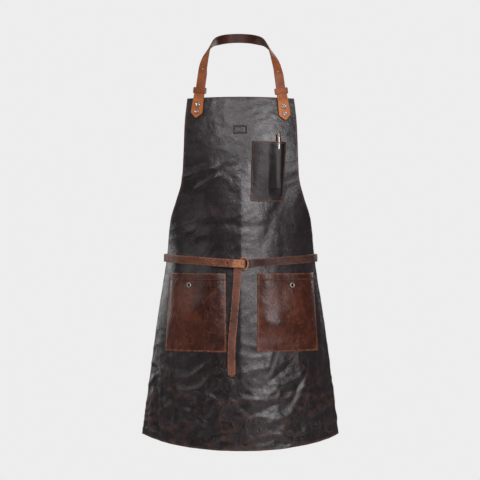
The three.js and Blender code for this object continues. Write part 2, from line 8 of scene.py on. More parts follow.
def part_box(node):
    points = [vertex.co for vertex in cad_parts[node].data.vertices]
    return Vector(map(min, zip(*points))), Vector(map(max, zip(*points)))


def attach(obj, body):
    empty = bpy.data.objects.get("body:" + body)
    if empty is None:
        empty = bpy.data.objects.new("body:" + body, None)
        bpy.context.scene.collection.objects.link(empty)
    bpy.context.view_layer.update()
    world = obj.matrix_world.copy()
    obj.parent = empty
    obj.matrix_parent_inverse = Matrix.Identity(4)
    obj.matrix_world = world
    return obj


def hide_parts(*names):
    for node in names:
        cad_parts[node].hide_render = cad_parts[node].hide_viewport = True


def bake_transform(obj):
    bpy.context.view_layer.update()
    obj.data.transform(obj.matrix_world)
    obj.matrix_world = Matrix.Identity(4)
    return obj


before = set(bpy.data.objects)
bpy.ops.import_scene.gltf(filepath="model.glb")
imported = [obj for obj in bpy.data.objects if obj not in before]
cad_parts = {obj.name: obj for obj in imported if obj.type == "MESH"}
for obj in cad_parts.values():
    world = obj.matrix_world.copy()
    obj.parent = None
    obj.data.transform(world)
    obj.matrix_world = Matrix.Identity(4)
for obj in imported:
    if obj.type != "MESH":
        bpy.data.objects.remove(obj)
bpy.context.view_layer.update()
mm = 0.001

# camera and light: the front of the apron looks towards -Y
studio = {
    "cameraAt": (-0.0017, -4.23, -0.5332),
    "lens": 120.0,
    "background": 0.847,
    "ambient": 0.13,
    "floorZ": -1.42,
    "floorRadius": 1.6,
}


def addCamera():
    data = bpy.data.cameras.new("camera")
    data.lens = studio["lens"]
    data.sensor_width = 36
    camera = bpy.data.objects.new("camera", data)
    camera.location = studio["cameraAt"]
    camera.rotation_euler = (radians(90), 0, 0)
    bpy.context.scene.collection.objects.link(camera)
    bpy.context.scene.camera = camera


def addLamp(name, at, aim, size, power, tint=(1, 1, 1)):
    data = bpy.data.lights.new(name, "AREA")
    data.shape = "RECTANGLE"
    data.size, data.size_y = size
    data.energy = power
    data.color = tint
    lamp = bpy.data.objects.new(name, data)
    lamp.location = at
    lamp.rotation_euler = (Vector(aim) - Vector(at)).to_track_quat("-Z", "Y").to_euler()
    lamp.visible_camera = False
    bpy.context.scene.collection.objects.link(lamp)


def setNode(tree, kind, sockets=None, **settings):
    made = tree.nodes.new(kind)
    for key, value in settings.items():
        setattr(made, key, value)
    for key, value in (sockets or {}).items():
        if isinstance(value, bpy.types.NodeSocket):
            tree.links.new(value, made.inputs[key])
        else:
            made.inputs[key].default_value = value
    return made


def setWorld():
    world = bpy.data.worlds.new("studio")
    world.use_nodes = True
    bpy.context.scene.world = world
    tree = world.node_tree
    tree.nodes.clear()
    grey = studio["background"]
    seen = setNode(tree, "ShaderNodeBackground", {"Color": (grey, grey, grey, 1), "Strength": 1.0})
    soft = setNode(tree, "ShaderNodeBackground", {"Color": (1, 1, 1, 1), "Strength": studio["ambient"]})
    path = setNode(tree, "ShaderNodeLightPath")
    both = setNode(tree, "ShaderNodeMixShader", {
        0: path.outputs["Is Camera Ray"], 1: soft.outputs[0], 2: seen.outputs[0]})
    setNode(tree, "ShaderNodeOutputWorld", {"Surface": both.outputs[0]})
    bpy.context.scene.view_settings.view_transform = "Standard"


addCamera()
setWorld()
addLamp("keyLamp", (1.05, -2.95, 0.32), (0.02, -0.2, -0.45), (0.95, 1.25), 37, (1, 0.965, 1))
addLamp("bellyLamp", (1.75, -2.6, -0.45), (0.07, -0.2, -0.5), (0.5, 0.4), 8, (1, 0.965, 1))
addLamp("skirtLamp", (1.25, -2.7, -0.95), (0.05, -0.2, -0.8), (0.9, 1.1), 5, (1, 0.965, 1))
addLamp("bibLamp", (-0.45, -3.3, 0.85), (0, -0.2, -0.25), (0.8, 0.5), 21, (1, 0.97, 1))
addLamp("fillLamp", (-2.5, -1.5, 0.3), (0, -0.2, -0.6), (0.7, 2.0), 8)
addLamp("topLamp", (0.1, -1.0, 1.7), (0, -0.1, -0.4), (1.4, 1.0), 12)
addLamp("rimLamp", (-1.9, 0.9, 0.2), (0, -0.1, -0.5), (0.6, 1.9), 16)
addLamp("backLamp", (1.6, 2.4, 0.4), (0, 0, -0.5), (1.2, 1.8), 26)
print("studio ready")


# Materials
def maths(tree, kind, a, b=0.0, clamp=False):
    return setNode(tree, "ShaderNodeMath", {0: a, 1: b}, operation=kind, use_clamp=clamp).outputs[0]


def mixColour(tree, share, a, b, kind="MIX"):
    mixer = setNode(tree, "ShaderNodeMix", {0: share, 6: a, 7: b}, data_type="RGBA", blend_type=kind)
    return mixer.outputs[2]


def ramp(tree, value, stops):
    made = setNode(tree, "ShaderNodeValToRGB", {"Fac": value})
    points = made.color_ramp.elements
    while len(points) < len(stops):
        points.new(0.5)
    for point, (at, colour) in zip(points, stops):
        point.position = at
        point.color = (*colour, 1) if hasattr(colour, "__len__") else (colour, colour, colour, 1)
    return made.outputs["Color"]


def speckle(tree, at, scale, detail=4.0, rough=0.5, warp=0.0):
    sockets = {"Vector": at, "Scale": scale, "Detail": detail, "Roughness": rough, "Distortion": warp}
    return setNode(tree, "ShaderNodeTexNoise", sockets)


def spread(tree, value, low, high, toLow=0.0, toHigh=1.0):
    sockets = {"Value": value, "From Min": low, "From Max": high, "To Min": toLow, "To Max": toHigh}
    return setNode(tree, "ShaderNodeMapRange", sockets).outputs[0]


def newMaterial(name):
    made = bpy.data.materials.new(name)
    made.use_nodes = True
    tree = made.node_tree
    return made, tree, tree.nodes["Principled BSDF"]


# Leather: cloudy dye, thin wandering cracks, pores, a waxed top coat that has rubbed dull in places.
# The mesh attribute is 1 where the edges and folds have rubbed; on the strap tabs it is also 1 above the bend
# line, and there it is painted shade.
def leather(name, look):
    made, tree, shader = newMaterial(name)
    at = setNode(tree, "ShaderNodeTexCoord").outputs["Object"]
    wearAndShade = setNode(tree, "ShaderNodeAttribute", attribute_name="wearAndShade").outputs["Fac"]
    broad = speckle(tree, at, look["patch"], 3, 0.55, 0.6).outputs["Fac"]
    small = speckle(tree, at, look["patch"] * 9, 5, 0.62, 0.3).outputs["Fac"]
    cloud = maths(tree, "ADD", maths(tree, "MULTIPLY", broad, 0.74), maths(tree, "MULTIPLY", small, 0.26))
    dye = ramp(tree, cloud, [(0.34, look["deep"]), (0.5, look["body"]), (0.68, look["pale"])])
    # cracks
    bentBy = setNode(tree, "ShaderNodeVectorMath", {
        0: speckle(tree, at, 26, 3, 0.6).outputs["Color"], "Scale": 0.014}, operation="SCALE").outputs[0]
    bent = setNode(tree, "ShaderNodeVectorMath", {0: at, 1: bentBy}, operation="ADD").outputs[0]
    raked = setNode(tree, "ShaderNodeMapping", {
        "Vector": bent, "Rotation": (0, -0.75, 0), "Scale": (1, 1, 0.42)}).outputs[0]
    lines = None
    for scale, width in look["cracks"]:
        cells = setNode(tree, "ShaderNodeTexVoronoi", {"Vector": raked, "Scale": scale},
                        feature="DISTANCE_TO_EDGE")
        line = spread(tree, cells.outputs["Distance"], 0.0, width, 1.0, 0.0)
        lines = line if lines is None else maths(tree, "MAXIMUM", lines, line)
    for scale, width in look["veins"]:
        vein = speckle(tree, raked, scale, 6, 0.55, 0.9).outputs["Fac"]
        off = maths(tree, "ABSOLUTE", maths(tree, "SUBTRACT", vein, 0.5))
        lines = maths(tree, "MAXIMUM", lines, spread(tree, off, 0.0, width, 1.0, 0.0))
    where = spread(tree, speckle(tree, at, 34, 5, 0.7).outputs["Fac"], 0.44, 0.60)
    low = setNode(tree, "ShaderNodeSeparateXYZ", {0: at}).outputs["Z"]
    lower = spread(tree, low, look["crackFrom"], look["crackTo"], look["crackHigh"], 1.0)
    cracked = maths(tree, "MULTIPLY", maths(tree, "MULTIPLY", lines, where), lower)
    shown = maths(tree, "MULTIPLY", cracked, look["crackShow"], True)
    # Rubbed edges and folds take the worn colour; on the strap tabs the same mask paints the shade above the
    # bend.
    rubbedAndShaded = maths(tree, "MULTIPLY", wearAndShade, spread(tree, small, 0.36, 0.6), True)
    colour = mixColour(tree, shown, dye, (*look["crackColour"], 1))
    rubAndShadeShow = maths(tree, "MULTIPLY", rubbedAndShaded, look["wearAndShadeShow"], True)
    colour = mixColour(tree, rubAndShadeShow, colour, (*look["worn"], 1))
    pores = setNode(tree, "ShaderNodeTexVoronoi", {"Vector": at, "Scale": look["grain"]}, feature="F1")
    poreDepth = spread(tree, pores.outputs["Distance"], 0.0, 0.5)
    # The pore pits are darkened in colour as well: painted shade in the pits.
    tree.links.new(mixColour(tree, spread(tree, poreDepth, 0.0, 0.4, 0.3, 0.0), colour, (
        *[c * 0.5 for c in look["deep"]], 1)), shader.inputs["Base Color"])
    dull = maths(tree, "ADD", maths(tree, "MULTIPLY", small, 0.6), maths(tree, "MULTIPLY", broad, 0.4))
    gloss = spread(tree, dull, 0.32, 0.68, look["smooth"], look["rough"])
    dulled = maths(tree, "MULTIPLY", maths(tree, "MAXIMUM", shown, rubbedAndShaded), 0.12)
    gloss = maths(tree, "ADD", gloss, dulled, True)
    tree.links.new(gloss, shader.inputs["Roughness"])
    # relief, coarse to fine
    crease = speckle(tree, at, look["creases"], 4, 0.55, 0.2).outputs["Fac"]
    first = setNode(tree, "ShaderNodeBump", {
        "Strength": 0.7, "Distance": look["creaseDepth"], "Height": crease}).outputs[0]
    second = setNode(tree, "ShaderNodeBump", {
        "Strength": 0.6, "Distance": 0.0003, "Height": cracked, "Normal": first}, invert=True).outputs[0]
    third = setNode(tree, "ShaderNodeBump", {
        "Strength": look["grainDepth"], "Distance": 0.00025, "Height": poreDepth,
        "Normal": second}).outputs[0]
    tree.links.new(third, shader.inputs["Normal"])
    shader.inputs["Specular IOR Level"].default_value = look["shine"]
    shader.inputs["Coat Weight"].default_value = look["coat"]
    shader.inputs["Coat Roughness"].default_value = look["coatRough"]
    shader.inputs["Sheen Weight"].default_value = look["sheen"]
    shader.inputs["Sheen Roughness"].default_value = 0.5
    return made


baseLook = {
    "patch": 7.0, "cracks": [(36.0, 0.022)], "veins": [(14.0, 0.006), (26.0, 0.006)],
    "crackFrom": -0.35, "crackTo": -0.85,
    "crackHigh": 0.35, "crackShow": 0.9, "wearAndShadeShow": 0.9, "grain": 900.0, "grainDepth": 0.25,
    "creases": 40.0, "creaseDepth": 0.0026, "shine": 0.5, "coat": 0.0, "coatRough": 0.3, "sheen": 0.0,
}
darkLeather = leather("darkLeather", {
    **baseLook, "deep": (0.0075, 0.0048, 0.0062), "body": (0.0125, 0.0085, 0.0105),
    "pale": (0.021, 0.0145, 0.0175), "crackColour": (0.085, 0.033, 0.022), "worn": (0.10, 0.04, 0.027),
    "smooth": 0.24, "rough": 0.44, "coat": 0.15})
chestLeather = leather("chestLeather", {
    **baseLook, "deep": (0.0085, 0.0058, 0.0065), "body": (0.014, 0.0095, 0.011),
    "pale": (0.022, 0.0155, 0.018), "crackColour": (0.085, 0.033, 0.022), "worn": (0.10, 0.04, 0.027),
    "smooth": 0.36, "rough": 0.55, "shine": 0.38})
darkEdge = leather("darkEdge", {
    **baseLook, "deep": (0.03, 0.013, 0.010), "body": (0.055, 0.023, 0.016),
    "pale": (0.10, 0.04, 0.025), "crackColour": (0.12, 0.05, 0.03), "worn": (0.12, 0.05, 0.03),
    "smooth": 0.55, "rough": 0.75, "coat": 0.0})
pocketLeather = leather("pocketLeather", {
    **baseLook, "patch": 9.0, "deep": (0.024, 0.0055, 0.0029), "body": (0.053, 0.0120, 0.0053),
    "pale": (0.118, 0.0295, 0.0122), "crackColour": (0.21, 0.07, 0.033), "crackHigh": 0.7,
    "crackShow": 0.6, "worn": (0.26, 0.085, 0.04), "smooth": 0.27, "rough": 0.42, "shine": 0.38,
    "coat": 0.08})
pocketEdge = leather("pocketEdge", {
    **baseLook, "deep": (0.13, 0.045, 0.024), "body": (0.22, 0.08, 0.042), "pale": (0.30, 0.12, 0.06),
    "crackColour": (0.30, 0.12, 0.06), "worn": (0.3, 0.12, 0.06), "smooth": 0.5, "rough": 0.7,
    "coat": 0.0})
tieLook = {**baseLook, "patch": 16.0, "shine": 0.3, "crackColour": (0.05, 0.018, 0.012), "crackHigh": 0.8,
           "crackShow": 0.35, "smooth": 0.36, "rough": 0.58, "creases": 110.0, "creaseDepth": 0.0006}
tieLeather = leather("tieLeather", {
    **tieLook, "deep": (0.065, 0.021, 0.0125), "body": (0.120, 0.041, 0.024),
    "pale": (0.20, 0.074, 0.041), "worn": (0.46, 0.185, 0.085)})
greyTieLeather = leather("greyTieLeather", {
    **tieLook, "deep": (0.028, 0.011, 0.009), "body": (0.055, 0.023, 0.018),
    "pale": (0.10, 0.042, 0.030), "worn": (0.30, 0.12, 0.06)})
tieEdge = leather("tieEdge", {
    **baseLook, "patch": 16.0, "deep": (0.10, 0.035, 0.02), "body": (0.19, 0.07, 0.038),
    "pale": (0.28, 0.11, 0.055), "crackColour": (0.05, 0.018, 0.012), "worn": (0.36, 0.15, 0.075),
    "smooth": 0.5, "rough": 0.7, "coat": 0.0})
strapLook = {**baseLook, "patch": 14.0, "crackHigh": 0.5, "crackShow": 0.3, "creases": 120.0,
             "creaseDepth": 0.00025, "grain": 1100.0, "wearAndShadeShow": 0.6, "shine": 0.3}
strapLeather = leather("strapLeather", {
    **strapLook, "deep": (0.14, 0.036, 0.012), "body": (0.25, 0.071, 0.023),
    "pale": (0.35, 0.11, 0.038), "crackColour": (0.12, 0.035, 0.014), "worn": (0.14, 0.045, 0.018),
    "smooth": 0.36, "rough": 0.52})
# The strap's inner face: a darker copy of the strap leather, painted shade inside the neck loop and the
# keepers.
shadedStrapInner = leather("shadedStrapInner", {
    **strapLook, "deep": (0.034, 0.0085, 0.0045), "body": (0.06, 0.016, 0.008),
    "pale": (0.10, 0.029, 0.0135), "crackColour": (0.04, 0.012, 0.007), "worn": (0.1, 0.03, 0.014),
    "smooth": 0.42, "rough": 0.6})
# Tab leather. Its worn colour darkens the rubbed edges and also paints the shade above the bend line.
tabLeather = leather("tabLeather", {
    **strapLook, "deep": (0.33, 0.088, 0.022), "body": (0.46, 0.142, 0.036),
    "pale": (0.56, 0.19, 0.055), "crackColour": (0.22, 0.07, 0.02), "worn": (0.17, 0.05, 0.018),
    "smooth": 0.4, "rough": 0.55})
strapEdge = leather("strapEdge", {
    **strapLook, "deep": (0.07, 0.022, 0.009), "body": (0.12, 0.038, 0.015),
    "pale": (0.2, 0.066, 0.025), "crackColour": (0.06, 0.02, 0.01), "worn": (0.2, 0.07, 0.03),
    "smooth": 0.45, "rough": 0.65, "coat": 0.0})


# Waxed thread: fine twisted plies across each stitch, a little dirt.
def thread(name, colour, dark):
    made, tree, shader = newMaterial(name)
    at = setNode(tree, "ShaderNodeTexCoord").outputs["Object"]
    dirt = speckle(tree, at, 70, 4, 0.6).outputs["Fac"]
    tree.links.new(ramp(tree, dirt, [(0.35, dark), (0.65, colour)]), shader.inputs["Base Color"])
    twist = setNode(tree, "ShaderNodeTexWave", {"Vector": at, "Scale": 900.0, "Distortion": 2.0},
                    bands_direction="DIAGONAL")
    plies = setNode(tree, "ShaderNodeBump", {
        "Strength": 0.4, "Distance": 0.0002, "Height": twist.outputs["Fac"]}).outputs[0]
    tree.links.new(plies, shader.inputs["Normal"])
    tree.links.new(spread(tree, dirt, 0.3, 0.7, 0.5, 0.75), shader.inputs["Roughness"])
    shader.inputs["Sheen Weight"].default_value = 0.2
    return made


# Plated metal: fine turning marks, finger dulling and darker spots.
def plated(name, colour, tarnish, rough, marks=1400.0):
    made, tree, shader = newMaterial(name)
    at = setNode(tree, "ShaderNodeTexCoord").outputs["Object"]
    cloud = speckle(tree, at, 160, 4, 0.6).outputs["Fac"]
    tree.links.new(ramp(tree, cloud, [(0.35, tarnish), (0.6, colour)]), shader.inputs["Base Color"])
    tree.links.new(spread(tree, cloud, 0.3, 0.7, rough * 1.5, rough * 0.8), shader.inputs["Roughness"])
    fine = speckle(tree, at, marks, 2, 0.5).outputs["Fac"]
    turned = setNode(tree, "ShaderNodeBump", {
        "Strength": 0.12, "Distance": 0.0001, "Height": fine}).outputs[0]
    tree.links.new(turned, shader.inputs["Normal"])
    shader.inputs["Metallic"].default_value = 1.0
    return made


redThread = thread("redThread", (0.15, 0.055, 0.035), (0.04, 0.018, 0.014))
tanThread = thread("tanThread", (0.42, 0.16, 0.075), (0.2, 0.07, 0.035))
nickel = plated("nickel", (0.42, 0.385, 0.36), (0.2, 0.17, 0.155), 0.30)
copper = plated("copper", (0.80, 0.42, 0.24), (0.55, 0.25, 0.13), 0.2)
steel = plated("darkSteel", (0.30, 0.29, 0.29), (0.16, 0.15, 0.15), 0.35)


# A plain pale floor, well below the hanging apron.
def makeFloor():
    made, tree, shader = newMaterial("floorPaint")
    at = setNode(tree, "ShaderNodeTexCoord").outputs["Object"]
    tree.links.new(ramp(tree, speckle(tree, at, 3, 3).outputs["Fac"], [
        (0.3, (0.80, 0.80, 0.80)), (0.7, (0.84, 0.84, 0.84))]), shader.inputs["Base Color"])
    bm = bmesh.new()
    bmesh.ops.create_circle(bm, segments=96, radius=studio["floorRadius"], cap_ends=True)
    bmesh.ops.translate(bm, vec=(0, 0, studio["floorZ"]), verts=bm.verts)
    mesh = bpy.data.meshes.new("floor")
    bm.to_mesh(mesh)
    bm.free()
    mesh.materials.append(made)
    floor = bpy.data.objects.new("floor", mesh)
    bpy.context.scene.collection.objects.link(floor)


makeFloor()
print("materials ready")


# The apron's surface: the same levels as the frame's panel, in metres
stations = [  # drop below the bib top, half width, edges behind the middle, middle ahead of the nape
    (0, 0.135, 0.022, 0.200), (0.060, 0.1415, 0.024, 0.208), (0.159, 0.146, 0.028, 0.219),
    (0.212, 0.151, 0.038, 0.224), (0.262, 0.1645, 0.058, 0.227), (0.312, 0.1795, 0.086, 0.229),
    (0.407, 0.190, 0.115, 0.2315), (0.585, 0.217, 0.122, 0.238), (0.889, 0.257, 0.126, 0.236),
]
panel = {"top": -0.172, "length": 0.889, "bow": 0.003, "hemRise": 0.030, "thickness": 2.2 * mm,
         "columns": 168, "rows": 256, "stitchIn": 4.6 * mm}


def levelValue(key, z):
    drop = panel["top"] - z
    i = 0
    while i < len(stations) - 2 and drop > stations[i + 1][0]:
        i += 1

    def slope(j):
        a, b = stations[max(j - 1, 0)], stations[min(j + 1, len(stations) - 1)]
        return (b[key] - a[key]) / (b[0] - a[0])

    low, high = stations[i], stations[i + 1]
    if drop < 0:
        return low[key] + slope(0) * drop if key == 3 else low[key]
    span = high[0] - low[0]
    t = min((drop - low[0]) / span, 1)
    smooth = t * t * (3 - 2 * t)
    return (low[key] * (1 - smooth) + high[key] * smooth
            + t * (1 - t) * span * ((1 - t) * slope(i) - t * slope(i + 1)))


def arcAt(z):
    half, wrap = levelValue(1, z), levelValue(2, z)
    radius = (half * half + wrap * wrap) / (2 * wrap)
    return radius, -levelValue(3, z), radius * asin(half / radius)


def place(side, z, out):
    radius, front, _ = arcAt(z)
    turn = side / radius
    return Vector(((radius + out) * sin(turn), front + radius - (radius + out) * cos(turn), z))


def ease(value, low, high):
    t = min(max((value - low) / (high - low), 0), 1)
    return t * t * (3 - 2 * t)


def bell(away, width):
    return exp(-(away / width) ** 2)


def uneven(*at):
    return noise.noise(Vector(at))


# Folds and creases that the worn leather holds: from, to (along the leather, height), width, height.
folds = [
    ((-0.150, -0.492), (0.125, -0.503), 0.010, -0.0013),
    ((-0.150, -0.512), (-0.02, -0.520), 0.016, 0.0010),
    ((-0.150, -0.375), (-0.060, -0.350), 0.009, 0.0036),
    ((-0.120, -0.405), (-0.062, -0.372), 0.007, 0.0030),
    ((-0.140, -0.352), (-0.090, -0.338), 0.009, -0.0026),
    ((-0.100, -0.300), (-0.050, -0.265), 0.012, 0.0012),
    ((-0.140, -0.400), (-0.060, -0.455), 0.016, -0.0014),
    ((0.040, -0.470), (0.110, -0.410), 0.018, 0.0010),
    ((0.060, -0.540), (0.110, -0.430), 0.012, -0.0010),
    ((-0.215, -1.020), (-0.222, -0.860), 0.014, 0.0040),
    ((-0.250, -1.030), (-0.262, -0.880), 0.013, 0.0030),
    ((-0.182, -1.030), (-0.196, -0.860), 0.012, -0.0030),
    ((0.218, -1.000), (0.232, -0.700), 0.013, 0.0026),
    ((0.192, -0.980), (0.160, -0.830), 0.016, 0.0022),
    ((0.052, -0.905), (0.130, -0.845), 0.009, -0.0020),
    ((0.000, -0.975), (0.045, -0.925), 0.009, 0.0014),
    ((-0.045, -0.850), (-0.020, -0.940), 0.014, 0.0016),
    ((-0.020, -0.925), (0.030, -0.975), 0.008, -0.0014),
    ((0.030, -0.975), (0.105, -0.935), 0.009, -0.0018),
    ((0.060, -1.000), (0.140, -0.965), 0.009, 0.0020),
    ((-0.065, -1.060), (-0.062, -0.985), 0.006, 0.0016),
    ((0.020, -0.820), (0.110, -0.800), 0.014, -0.0012),
    ((0.090, -0.800), (0.160, -0.760), 0.012, 0.0012),
    ((-0.120, -0.905), (-0.060, -0.935), 0.007, 0.0022),
    ((-0.150, -0.960), (-0.080, -1.000), 0.008, 0.0026),
    ((-0.110, -1.020), (-0.075, -0.950), 0.007, 0.0024),
    ((0.110, -1.010), (0.165, -0.900), 0.010, 0.0014),
    ((0.140, -0.930), (0.175, -0.870), 0.007, -0.0024),
    ((-0.190, -0.840), (-0.150, -0.800), 0.010, 0.0020),
    ((0.060, -0.870), (0.085, -0.800), 0.008, 0.0016),
]


def foldAt(side, z):
    total = 0.0
    for (ax, az), (bx, bz), width, height in folds:
        dx, dz = bx - ax, bz - az
        t = ((side - ax) * dx + (z - az) * dz) / (dx * dx + dz * dz)
        if -0.4 < t < 1.4:
            sway = uneven(side * 14, z * 14, height * 900) * width * 0.6
            away = ((side - ax) * dz - (z - az) * dx) / sqrt(dx * dx + dz * dz) + sway
            taper = ease(t, -0.25, 0.25) * (1 - ease(t, 0.75, 1.25))
            total += height * bell(away, width) * taper
    return total


# How far the leather stands out from the smooth shape: the fold down the middle from being stored
# folded in half, long soft swells, and the creases.
def drape(side, z):
    middle = ease(z, -0.94, -0.80) * (1 - ease(z, -0.42, -0.30))
    inward = 1 - ease(abs(side), 0.105, 0.195)
    crease = -0.0062 * (1 - exp(-sqrt(side * side + 4e-6) / 0.045)) * middle
    swell = (uneven(side * 7, z * 6, 3.1) - 0.4) * 0.0045 * (1 - ease(z, -0.30, -0.20))
    return (crease + swell) * inward + foldAt(side, z)


# Pressed marks: blank plates, and the leather round them lies flat.
marks = {"bibMark": {"side": -1.7 * mm, "z": -0.2555, "width": 35 * mm, "height": 22 * mm, "turn": 0.0},
         "hemMark": {"side": 0.203, "z": -1.003, "width": 34 * mm, "height": 21 * mm, "turn": 0.14}}


def wander(at):
    return Vector((noise.noise(at), noise.noise(at + Vector((17.3, 4.1, 9.2))),
                   noise.noise(at + Vector((-6.4, 21.7, 3.9)))))


# Small wrinkles of the panel alone, strongest towards the hem.
def wrinkle(side, z):
    calm = 1.0
    for mark in marks.values():
        away = sqrt((side - mark["side"]) ** 2 + ((z - mark["z"]) * 1.4) ** 2)
        calm = min(calm, ease(away, 0.016, 0.040))
    low = 1 - ease(z, -0.98, -0.74)
    turned = Vector((side * 0.94 + z * 0.34, z * 0.94 - side * 0.34, 0))
    warp = wander(turned * 9) * 0.045
    at = Vector((turned.x * 13, turned.y * 30, 7.7)) + warp * 26
    ridge = 0.8 - abs(noise.noise(at)) * 2.6
    fine = noise.noise(Vector((side * 62, z * 70, 1.3)) + warp * 40)
    return (max(ridge, -0.5) * 0.0021 + fine * 0.0007) * (0.24 + 0.76 * low) * calm


# A point on the panel's wrinkled face, lifted by so much.
def leatherAt(side, z, lift=0.0):
    return place(side, z, drape(side, z) + wrinkle(side, z) + lift)


def edgeWear(distance, reach):
    return max(0.0, 1 - distance / reach)


# Mesh helpers
def finish(bm, name, materials, smooth=True):
    if smooth:
        for face in bm.faces:
            face.smooth = True
    mesh = bpy.data.meshes.new(name)
    bm.to_mesh(mesh)
    bm.free()
    for material in materials:
        mesh.materials.append(material)
    piece = bpy.data.objects.new(name, mesh)
    bpy.context.scene.collection.objects.link(piece)
    return piece


def flatGrid(width, length, step, middleY=0.0):
    bm = bmesh.new()
    columns, rows = max(2, round(width / step)), max(2, round(length / step))
    bmesh.ops.create_grid(bm, x_segments=columns, y_segments=rows, size=0.5)
    bmesh.ops.scale(bm, vec=(width, length, 1), verts=bm.verts)
    bmesh.ops.translate(bm, vec=(0, middleY, 0), verts=bm.verts)
    return bm


def trim(bm, at, normal):
    bmesh.ops.bisect_plane(bm, geom=bm.verts[:] + bm.edges[:] + bm.faces[:], dist=1e-6,
                           plane_co=at, plane_no=normal, clear_outer=True)


def roundEnd(bm, centreY, radius, way):
    for k in range(-4, 5):
        angle = radians(90 / 4.5 * k)
        normal = Vector((sin(angle), way * cos(angle), 0))
        trim(bm, Vector((0, centreY, 0)) + normal * radius, normal)


def punch(bm, x, y, radius, step):
    centre = Vector((x, y, 0))
    inside = [v for v in bm.verts if (v.co - centre).length < radius]
    bmesh.ops.delete(bm, geom=inside, context="VERTS")
    for v in bm.verts:
        if v.is_boundary and (v.co - centre).length < radius + step * 1.3:
            v.co = centre + (v.co - centre).normalized() * radius


# Gives a face its thickness, inwards, and rounds the edges. Materials: outer face, edge, inner face.
def thicken(piece, thickness, rounding, even=True):
    wall = piece.modifiers.new("thickness", "SOLIDIFY")
    wall.thickness = thickness
    wall.offset = -1
    wall.use_even_offset = even
    wall.material_offset_rim = 1
    wall.material_offset = 2 if len(piece.data.materials) > 2 else 0
    edge = piece.modifiers.new("edge", "BEVEL")
    edge.width = rounding
    edge.segments = 2
    edge.limit_method = "ANGLE"
    edge.angle_limit = radians(50)


# Lays a flat cut piece where shape(x, y) says; the wear mask, which on the tabs also paints shade, goes to
# the material.
def layOut(bm, name, materials, shape, wearAndShade, thickness, faceTowards, rounding=0.5 * mm):
    layer = bm.verts.layers.float.new("wearAndShade")
    for v in bm.verts:
        x, y = v.co.x, v.co.y
        v[layer] = wearAndShade(x, y)
        v.co = shape(x, y)
    bm.normal_update()
    face = max(bm.faces, key=lambda f: f.calc_area())
    middle = face.calc_center_median()
    if face.normal.dot(faceTowards(middle)) < 0:
        bmesh.ops.reverse_faces(bm, faces=bm.faces)
    piece = finish(bm, name, materials)
    thicken(piece, thickness, rounding)
    return piece


def ahead(point):  # roughly outwards from the wearer
    return Vector((point.x, point.y + 0.02, 0))


def keep(piece, body, slotName, *nodes):
    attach(piece, body)
    if nodes:
        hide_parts(*nodes)
    return piece


# Stitches along a line of (point, outwards) pairs, a short capsule for each.
def stitchLine(bm, line, pitch=4.0 * mm, length=2.9 * mm, radius=0.42 * mm):
    lengths = [0.0]
    for (a, _), (b, _) in zip(line, line[1:]):
        lengths.append(lengths[-1] + (b - a).length)
    count = int(lengths[-1] / pitch)
    i = 0
    batch = bmesh.new()
    batchMesh = bpy.data.meshes.new("batch")
    for k in range(count):
        target = (k + 0.5) * lengths[-1] / count
        while lengths[i + 1] < target:
            i += 1
        (a, outA), (b, _) = line[i], line[i + 1]
        share = (target - lengths[i]) / (lengths[i + 1] - lengths[i])
        along = (b - a).normalized()
        out = (outA - along * outA.dot(along)).normalized()
        across = out.cross(along)
        turn = Matrix((along, across, out)).transposed().to_4x4()
        slant = Matrix.Rotation(radians(5), 4, "Z")
        size = Matrix.Diagonal((length / 2, radius, radius * 0.8, 1))
        at = Matrix.Translation(a.lerp(b, share) + out * radius * 0.25)
        bmesh.ops.create_uvsphere(batch, u_segments=6, v_segments=6, radius=1,
                                  matrix=at @ turn @ slant @ size)
        if k % 16 == 15 or k == count - 1:
            batch.to_mesh(batchMesh)
            bm.from_mesh(batchMesh)
            batch.clear()
    batch.free()
    bpy.data.meshes.remove(batchMesh)


def stitches(name, lines, material, body, slotName, **sizes):
    bm = bmesh.new()
    for line in lines:
        stitchLine(bm, line, **sizes)
    return keep(finish(bm, name, [material]), body, slotName)


def outwards(side, z):
    return (place(side, z, 0.001) - place(side, z, 0)).normalized()


# Apron panel
def panelPoint(u, v):
    top = panel["top"] - panel["bow"] * u * u
    foot = panel["top"] - panel["length"] + panel["hemRise"] * u * u
    z = foot + (top - foot) * v
    return u * arcAt(z)[2], z


def panelSurface(side, z):
    return place(side, z, drape(side, z))


def makePanel():
    bm = bmesh.new()
    bmesh.ops.create_grid(bm, x_segments=panel["columns"], y_segments=panel["rows"], size=1)

    def shape(x, y):
        side, z = panelPoint(x, (y + 1) / 2)
        return leatherAt(side, z)

    def wearAndShade(x, y):
        side, z = panelPoint(x, (y + 1) / 2)
        fromSide = (1 - abs(x)) * arcAt(z)[2]
        fromHem = (y + 1) / 2 * panel["length"]
        fromTop = (1 - y) / 2 * panel["length"]
        rim = max(edgeWear(fromSide, 0.007), edgeWear(fromHem, 0.007), edgeWear(fromTop, 0.004))
        crest = max(0.0, wrinkle(side, z) / 0.0012 - 0.55) * 0.5
        return min(1.0, rim + crest)

    piece = layOut(bm, "apronPanel", [darkLeather, darkEdge], shape, wearAndShade, panel["thickness"], ahead)
    keep(piece, "apron", "apron_leather", "apron_panel")
    rows = []
    inset = panel["stitchIn"]
    for end in (-1, 1):  # the two sides, bib top to hem
        line = []
        for k in range(161):
            v = 1 - k / 160
            side, z = panelPoint(1, v)
            side = end * (side - inset)
            z = min(max(z, panelPoint(1, 0)[1] + inset), panelPoint(1, 1)[1] - inset)
            line.append((leatherAt(side, z), outwards(side, z)))
        rows.append(line)
    for v, move in ((1, -inset), (0, inset)):  # along the top and the hem
        line = []
        for k in range(121):
            u = (k / 60 - 1) * 0.975
            side, z = panelPoint(u, v)
            z += move
            line.append((leatherAt(side, z), outwards(side, z)))
        rows.append(line)
    seam = stitches("panelStitching", rows, redThread, "apron", "apron_leather")


